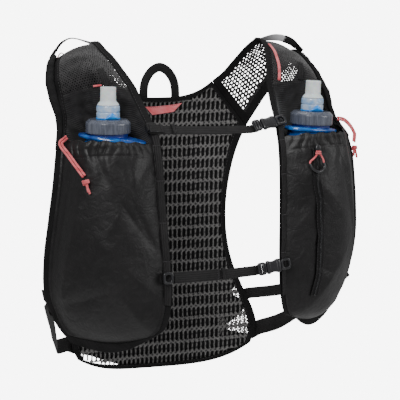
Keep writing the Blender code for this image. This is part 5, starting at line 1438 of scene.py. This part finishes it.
FLASK_BODY = (
    # t, share of the full section
    (10.0, 1.0), (10.7, 1.0), (11.5, 1.0), (12.4, 1.0), (13.3, 1.0), (13.9, 0.97), (14.3, 0.84),
    (14.55, 0.55),
)
FLANGE_ROWS = np.array(
    [
        # height under the cap's top, half width, half depth
        (-0.0136, 0.0198, 0.0198), (-0.0146, 0.0208, 0.0205), (-0.0166, 0.0205, 0.0202),
        (-0.0168, 0.0215, 0.0208), (-0.0172, 0.0330, 0.0200), (-0.0176, 0.0346, 0.0212),
        (-0.0190, 0.0352, 0.0216), (-0.0204, 0.0346, 0.0212), (-0.0209, 0.0325, 0.0205),
        (-0.0213, 0.0290, 0.0200), (-0.0235, 0.0272, 0.0202), (-0.0265, 0.0290, 0.0205),
        (-0.0300, 0.0312, 0.0206),
    ]
)
for side, sign in SIDES:
    axes, origin = cap_axes(side, sign)
    level = (chord(1.0, MOUTH_T) - chord(0.0, MOUTH_T)) * (sign, 1, 0)
    level = unit(level - axes[2] * (level @ axes[2]))
    turned_axes = np.stack([level, np.cross(axes[2], level), axes[2]])
    rows = resampled(FLANGE_ROWS, 80)
    local = rings(rows, 96)
    low = np.clip((-rows[:, :1] - 0.0168) / 0.0006, 0, 1)
    local[..., 0] += FLANGE_SHIFT[side] * low * np.sign(level[0])
    tilt = math.tan(math.radians(FLANGE_TILT[side])) * np.clip((-rows[:, :1] - 0.0160) / 0.0012, 0, 1)
    local[..., 2] -= local[..., 0] * tilt * np.sign(level[0]) + 0.0008 * low
    turn = np.linspace(0, 2 * np.pi, 96, endpoint=False)[None]
    crumple = np.abs(np.sin(3.1 * turn + 130 * local[..., 2]))
    crumple = crumple + np.abs(np.sin(5.3 * turn - 190 * local[..., 2]))
    loose = np.clip((-rows[:, :1] - 0.0185) / 0.006, 0, 1) * 0.0013 * (crumple - 1.2)
    local[..., :2] *= 1 + (loose / 0.025)[..., None]
    top_part = origin + local @ turned_axes
    body_rings = []
    for t, share in FLASK_BODY:
        row = smooth(BAND, t)
        room = (row[7] + row[8]) / 2 * arch(0.47, t) - 0.0024
        middle = chord(0.47, t) + outward(0.47, t) * (row[8] - row[7]) / 2 * arch(0.47, t)
        across = unit((chord(1.0, t) - chord(0.0, t)) * (1, 1, 0))
        through = unit(np.cross(across, (0, 0, 1)))
        c, s = np.cos(turn[0])[:, None], np.sin(turn[0])[:, None]
        ring = middle + across * 0.033 * share * c + through * room * share * s
        ring = mirrored(ring, sign)
        start = top_part[-1] if not body_rings else body_rings[-1]
        options = [np.roll(r, k, axis=0) for r in (ring, ring[::-1]) for k in range(0, 96, 4)]
        last = start - start.mean(axis=0)
        body_rings.append(min(options, key=lambda r: np.abs(r - r.mean(axis=0) - last).sum()))
    whole = np.concatenate([top_part, np.array(body_rings)])
    mesh = outwards(grid_mesh(f"{side}_flask", whole, False, True, True))
    made = dress(mesh, film, [f"{side}_flask"])
    made.data.materials.append(navy_film)
    ring_of_face = np.minimum(np.arange(len(made.data.polygons)) // 96, len(whole) - 1)
    dark = (ring_of_face < int(np.searchsorted(-rows[:, 0], 0.0169))).astype(int)
    made.data.polygons.foreach_set("material_index", dark.astype(np.int32))
    print(made.name, whole.shape)

# %% [markdown]
# The cap is moulded from clear smoke-grey plastic. Its skirt carries fine grooves for grip, so
# upright highlights break into short steps. A turned profile gives the shape, and a small
# cosine round the axis gives the flutes.

# %% Caps
smoky_plastic, tree, body = new_finish(
    # injection-moulded polypropylene, smoke tinted: grey-violet, half clear, satin, with upright streaks of
    # painted highlight
    "smoke-tinted polypropylene", Roughness=0.24, IOR=1.49, Transmission_Weight=0.35,
    Coat_Weight=0.3, Coat_Roughness=0.15,
)
at = add(tree, "ShaderNodeTexCoord", {}).outputs["Object"]
# Upright streaks of painted highlight: noise stretched along the cap's axis lightens the colour in narrow
# bands
painted_highlight_streak = add(tree, "ShaderNodeMapping", {0: at, "Scale": (620, 620, 60)}).outputs[0]
painted_highlight_streak = add(tree, "ShaderNodeTexNoise", {"Vector": painted_highlight_streak, "Scale": 1.0, "Detail": 3}).outputs[0]
tone = add(tree, "ShaderNodeMapRange", {0: painted_highlight_streak, 1: 0.35, 2: 0.7}).outputs[0]
tree.links.new(mix(tree, tone, linear("565b69"), linear("7a808f")), body.inputs["Base Color"])
CAP_PROFILE = np.array(
    [
        # radius, height
        (0.0128, 0.0002), (0.0190, 0.0002), (0.0202, -0.0001), (0.0208, -0.0008), (0.0226, -0.0026),
        (0.0231, -0.0034), (0.0233, -0.0045), (0.0234, -0.0128), (0.0231, -0.0138), (0.0222, -0.0142),
        (0.0206, -0.0142),
    ]
)


def turned(rows, count, flutes=0, depth=0.0):
    """A profile of radius and height turned about the third axis, with a cosine of flutes."""
    row = np.asarray(rows)
    turn = np.linspace(0, 2 * np.pi, count, endpoint=False)[None]
    radius = row[:, :1] * (1 + depth * np.cos(flutes * turn))
    return np.stack(np.broadcast_arrays(radius * np.cos(turn), radius * np.sin(turn), row[:, 1:2]), -1)


cap_rows = resampled(CAP_PROFILE, 90)
skirt = np.clip((-cap_rows[:, 1] - 0.0040) / 0.001, 0, 1) * np.clip((cap_rows[:, 1] + 0.0136) / 0.001, 0, 1)
cap_rows[:, 0] -= 0.00028 * skirt * (0.5 + 0.5 * np.cos(cap_rows[:, 1] * 2 * np.pi / 0.0019))
for side, sign in SIDES:
    axes, origin = cap_axes(side, sign)
    local = turned(cap_rows, 144, 24, 0.0004)
    mesh = grid_mesh(f"{side}_cap", origin + local @ axes, False, True, True)
    dress(outwards(mesh), smoky_plastic, [f"{side}_cap"])

# %% [markdown]
# The mouthpiece turns a quarter to lock, so it rides on its own body. A light blue clear
# collar sits on a bright blue ring with a three-cornered lug in front, and a soft white
# silicone tip stands on it. The collar has a groove half way up.

# %% Collars and mouthpieces
def clear_finish(name, low, high, roughness, clear, scale, **sockets):
    """A see-through moulding whose tint drifts slowly."""
    made, tree, body = new_finish(name, Roughness=roughness, Transmission_Weight=clear, **sockets)
    at = add(tree, "ShaderNodeTexCoord", {}).outputs["Object"]
    drift = add(tree, "ShaderNodeTexNoise", {"Vector": at, "Scale": scale, "Detail": 3}).outputs[0]
    tone = add(tree, "ShaderNodeMapRange", {0: drift, 1: 0.35, 2: 0.68}).outputs[0]
    tree.links.new(mix(tree, tone, linear(low), linear(high)), body.inputs["Base Color"])
    return made


collar_plastic = clear_finish(
    # light blue clear copolyester: bright rim, whitish where it is thick
    "light blue clear copolyester", "93c4f6", "e8f3ff", 0.2, 0.3, 140.0, IOR=1.5, Coat_Weight=0.3)
lug_plastic = clear_finish(
    # bright blue acetal lug: opaque, saturated, smooth
    "bright blue acetal", "0a78dc", "2aa0f6", 0.3, 0.0, 200.0, Coat_Weight=0.3)
white_silicone = clear_finish(
    # liquid silicone rubber: milky, soft-edged highlights
    "milky silicone", "e4eaec", "ffffff", 0.38, 0.15, 120.0, IOR=1.41, Subsurface_Weight=0.2)
COLLAR_ROWS = [(0.0060, 0.0018), (0.0116, 0.0018), (0.0121, 0.0022), (0.0122, 0.0040), (0.0121, 0.0066),
               (0.0115, 0.0073), (0.0115, 0.0078), (0.0121, 0.0085), (0.0121, 0.0120), (0.0117, 0.0138),
               (0.0112, 0.0143), (0.0060, 0.0143)]
TIP_ROWS = [(0.0060, 0.0146), (0.0108, 0.0146), (0.0111, 0.0150), (0.0102, 0.0166), (0.0088, 0.0180),
            (0.0081, 0.0196), (0.0079, 0.0230), (0.0078, 0.0290), (0.0079, 0.0318), (0.0077, 0.0328),
            (0.0070, 0.0331), (0.0030, 0.0329)]
for side, sign in SIDES:
    axes, origin = cap_axes(side, sign)
    bodies = f"{side}_valve"
    for name, rows, finish, slot, power in (
        ("valve_collar", COLLAR_ROWS, collar_plastic, "collar_plastic", 1.0),
        ("bite_valve", TIP_ROWS, white_silicone, "silicone", 0.82),
    ):
        row = smooth(rows, np.linspace(0, len(rows) - 1, 80))
        ring = np.stack([row[:, 1], row[:, 0], row[:, 0]], axis=-1)
        square = 1 - (1 - power) * np.clip((row[:, 1] - 0.018) / 0.003, 0, 1)
        local = np.concatenate([rings(ring[k : k + 1], 72, square[k]) for k in range(len(ring))])
        mesh = grid_mesh(f"{side}_{name}", origin + local @ axes, False, True, True)
        dress(outwards(mesh), finish, [f"{side}_{name}"], body=bodies)
    ring_rows = [(0.0116, 0.0003), (0.0124, 0.0004), (0.0126, 0.0010), (0.0124, 0.0016), (0.0116, 0.0017)]
    mesh = grid_mesh(f"{side}_collar_ring", origin + turned(ring_rows, 72) @ axes, False, True, True)
    dress(outwards(mesh), lug_plastic, body=bodies)
    across, high = np.linspace(-1, 1, 33)[None, :], np.linspace(0, 1, 12)[:, None]
    peak = 0.0058 * (1 - np.abs(across) ** 1.25)
    z = 0.0014 + high * peak
    turn = across * 0.50
    radius = 0.0127 + 0.0010 * np.sin(np.pi * np.clip(high, 0.0, 1)) + 0 * across
    front = np.stack([radius * np.sin(turn), -radius * np.cos(turn), z + 0 * turn], axis=-1)
    mesh = grid_mesh(f"{side}_collar_lug", origin + front @ axes)
    dress(mesh, lug_plastic, body=bodies, wall=0.0012)
    slit = np.stack([np.linspace(-0.0042, 0.0042, 12), np.zeros(12), np.full(12, 0.0330)], axis=-1)
    mesh = tube(f"{side}_valve_slit", origin + slit @ axes, 0.0003, 6, np.broadcast_to(axes[1], slit.shape))
    dress(mesh, clear_finish(f"{side} slit shadow in silicone", "8d979b", "b9c2c6", 0.5, 0.0, 300.0),
          body=bodies)

# %% [markdown]
# Where the plain panel stops short at the lower corner, a finer net backs the coarse one, and
# light comes through both as small bright specks. It is the honeycomb again, laid on the back.

# %% Fine net at the corner
flat, quads = honeycomb(0, 0.072, 15, 0.0036, 0.50, 0.14, 6)
u, v = 0.80 + 0.175 * flat[:, 0], 0.70 + flat[:, 1] / 0.072 * 0.24
mesh = bpy.data.meshes.new("corner_net")
mesh.from_pydata(back_away(back(u, v), u, v, np.full(len(u), 0.0026)).tolist(), [], quads.tolist())
dress(mesh, spacer_knit, wall=0.0007)
print("corner net", len(quads), "quads")

# %% [markdown]
# A reverse coil zip runs down the left pocket. Its two tapes are coated and slightly shiny,
# with the closed coil as a thin ridge between them. The slider is pulled by a loop of cord
# that passes through a dark rubber grip; the cord is one piece from the slider and back.

# %% Zip
coated_tape = woven(
    # polyurethane-coated zip tape: flat black, water-shedding, a faint long gloss
    "coated zip tape", "090909", "151415", (0.0040, 0.0014), 0.38, 0.2,
)
ZIP_ROWS = ((0.290, 10.05), (0.272, 10.60), (0.258, 11.10), (0.280, 11.62), (0.290, 12.30),
            (0.295, 12.95), (0.300, 13.55), (0.262, 14.30))
rows = smooth(ZIP_ROWS, np.linspace(0, len(ZIP_ROWS) - 1, 170))
u, t = rows[:, 0], rows[:, 1]
for name, inner, outer in (("left_zip_tape", -1.0, -0.10), ("left_zip_tape_far", 0.10, 1.0)):
    share = np.linspace(inner, outer, 10)
    at_u = u[:, None] + share * 0.00375 / width(t)[:, None]
    at_t = np.broadcast_to(t[:, None], at_u.shape)
    dip = 0.0021 + 0.0005 * np.exp(-((share / 0.25) ** 2))
    mesh = grid_mesh(name, placed(pocket_cloth("left", at_u, at_t, dip + 0 * at_u), "left", at_u, at_t))
    dress(mesh, coated_tape, ["left_zip_tape"] if inner < 0 else [], wall=0.0007)
middle = placed(pocket_cloth("left", u, t, 0.0027), "left", u, t)
out = outward(u, t)
starts, ends, facing = seam(middle, out, 0.0004, 0.0009)
along = unit(ends - starts)
beside = np.cross(along, facing)
teeth = stitch_mesh("left_zip_coil", starts - beside * 0.0012 + facing * 0.0002,
                    starts + beside * 0.0012 + along * 0.0003 + facing * 0.0002, facing, 0.00045)
dress(teeth, moulded_acetal)
edges = []
for k in (-1, 1):
    at_u = u + k * 0.0034 / width(t)
    at = placed(pocket_cloth("left", at_u, t, 0.0026), "left", at_u, t)
    edges.append(seam(at, outward(at_u, t), 0.0022, 0.0009))
sewn("left_zip_seams", edges, 0.00022)

zip_u, zip_t = ZIP_ROWS[0][0], ZIP_ROWS[0][1] + 0.02
across = unit(pocket_cloth("left", zip_u + 0.02, zip_t) - pocket_cloth("left", zip_u - 0.02, zip_t))
out = outward(zip_u, zip_t)
axes = np.stack([across, np.cross(out, across), out])
SLIDER = ((-0.0036, 0.0010, 0.0006), (-0.0030, 0.0022, 0.0013), (-0.0012, 0.0027, 0.0016),
          (0.0010, 0.0024, 0.0017), (0.0028, 0.0018, 0.0014), (0.0036, 0.0010, 0.0008))
slider_at = pocket_cloth("left", zip_u, zip_t, 0.0045)
slider = body_of_sections("left_zip_slider", axes[[1, 0, 2]], slider_at, SLIDER)
dress(slider, moulded_acetal, ["left_zip_slider"])

GRIP_ROWS = ((0.202, 10.575, 0.0056), (0.214, 10.720, 0.0056), (0.250, 10.830, 0.0056),
             (0.298, 10.810, 0.0056), (0.328, 10.700, 0.0056), (0.330, 10.575, 0.0056))
PULL_ROWS = ((0.276, 10.22, 0.0056), (0.262, 10.30, 0.0056), (0.235, 10.40, 0.0056), (0.205, 10.52, 0.0056),
             *GRIP_ROWS[1:-1], (0.328, 10.52, 0.0056), (0.318, 10.40, 0.0056), (0.300, 10.30, 0.0056),
             (0.286, 10.22, 0.0056))
row = smooth(PULL_ROWS, np.linspace(0, len(PULL_ROWS) - 1, 60))
pull_path = pocket_cloth("left", row[:, 0], row[:, 1], row[:, 2])
facing = outward(row[:, 0], row[:, 1])
pull = tube("left_zip_cord", pull_path, 0.0010, 10, facing)
pull = dress(pull, coral_braid, ["left_zip_cord_a", "left_zip_cord_b"])
row = smooth(GRIP_ROWS, np.linspace(0, len(GRIP_ROWS) - 1, 40))
grip = tube("left_zip_grip", pocket_cloth("left", row[:, 0], row[:, 1], row[:, 2]), 0.0016, 12,
            outward(row[:, 0], row[:, 1]))
grip = dress(grip, moulded_acetal, ["left_zip_grip"])
knot_middle = pocket_cloth("left", 0.281, 10.235, 0.0058)
knot = tube("left_zip_knot", knot_grid(knot_middle, axes[1], out, 1.5), 0.0010, 8, axes[0])
knot = dress(knot, coral_braid)
print("zip pull cord", round(length_of(pull_path) * 1000, 1), "mm")

# %% [markdown]
# Last, the size of the dressed vest is printed.

# %% Sizes and finish
low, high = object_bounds()
print("scene box", [round(v, 3) for v in (*low, *high)])
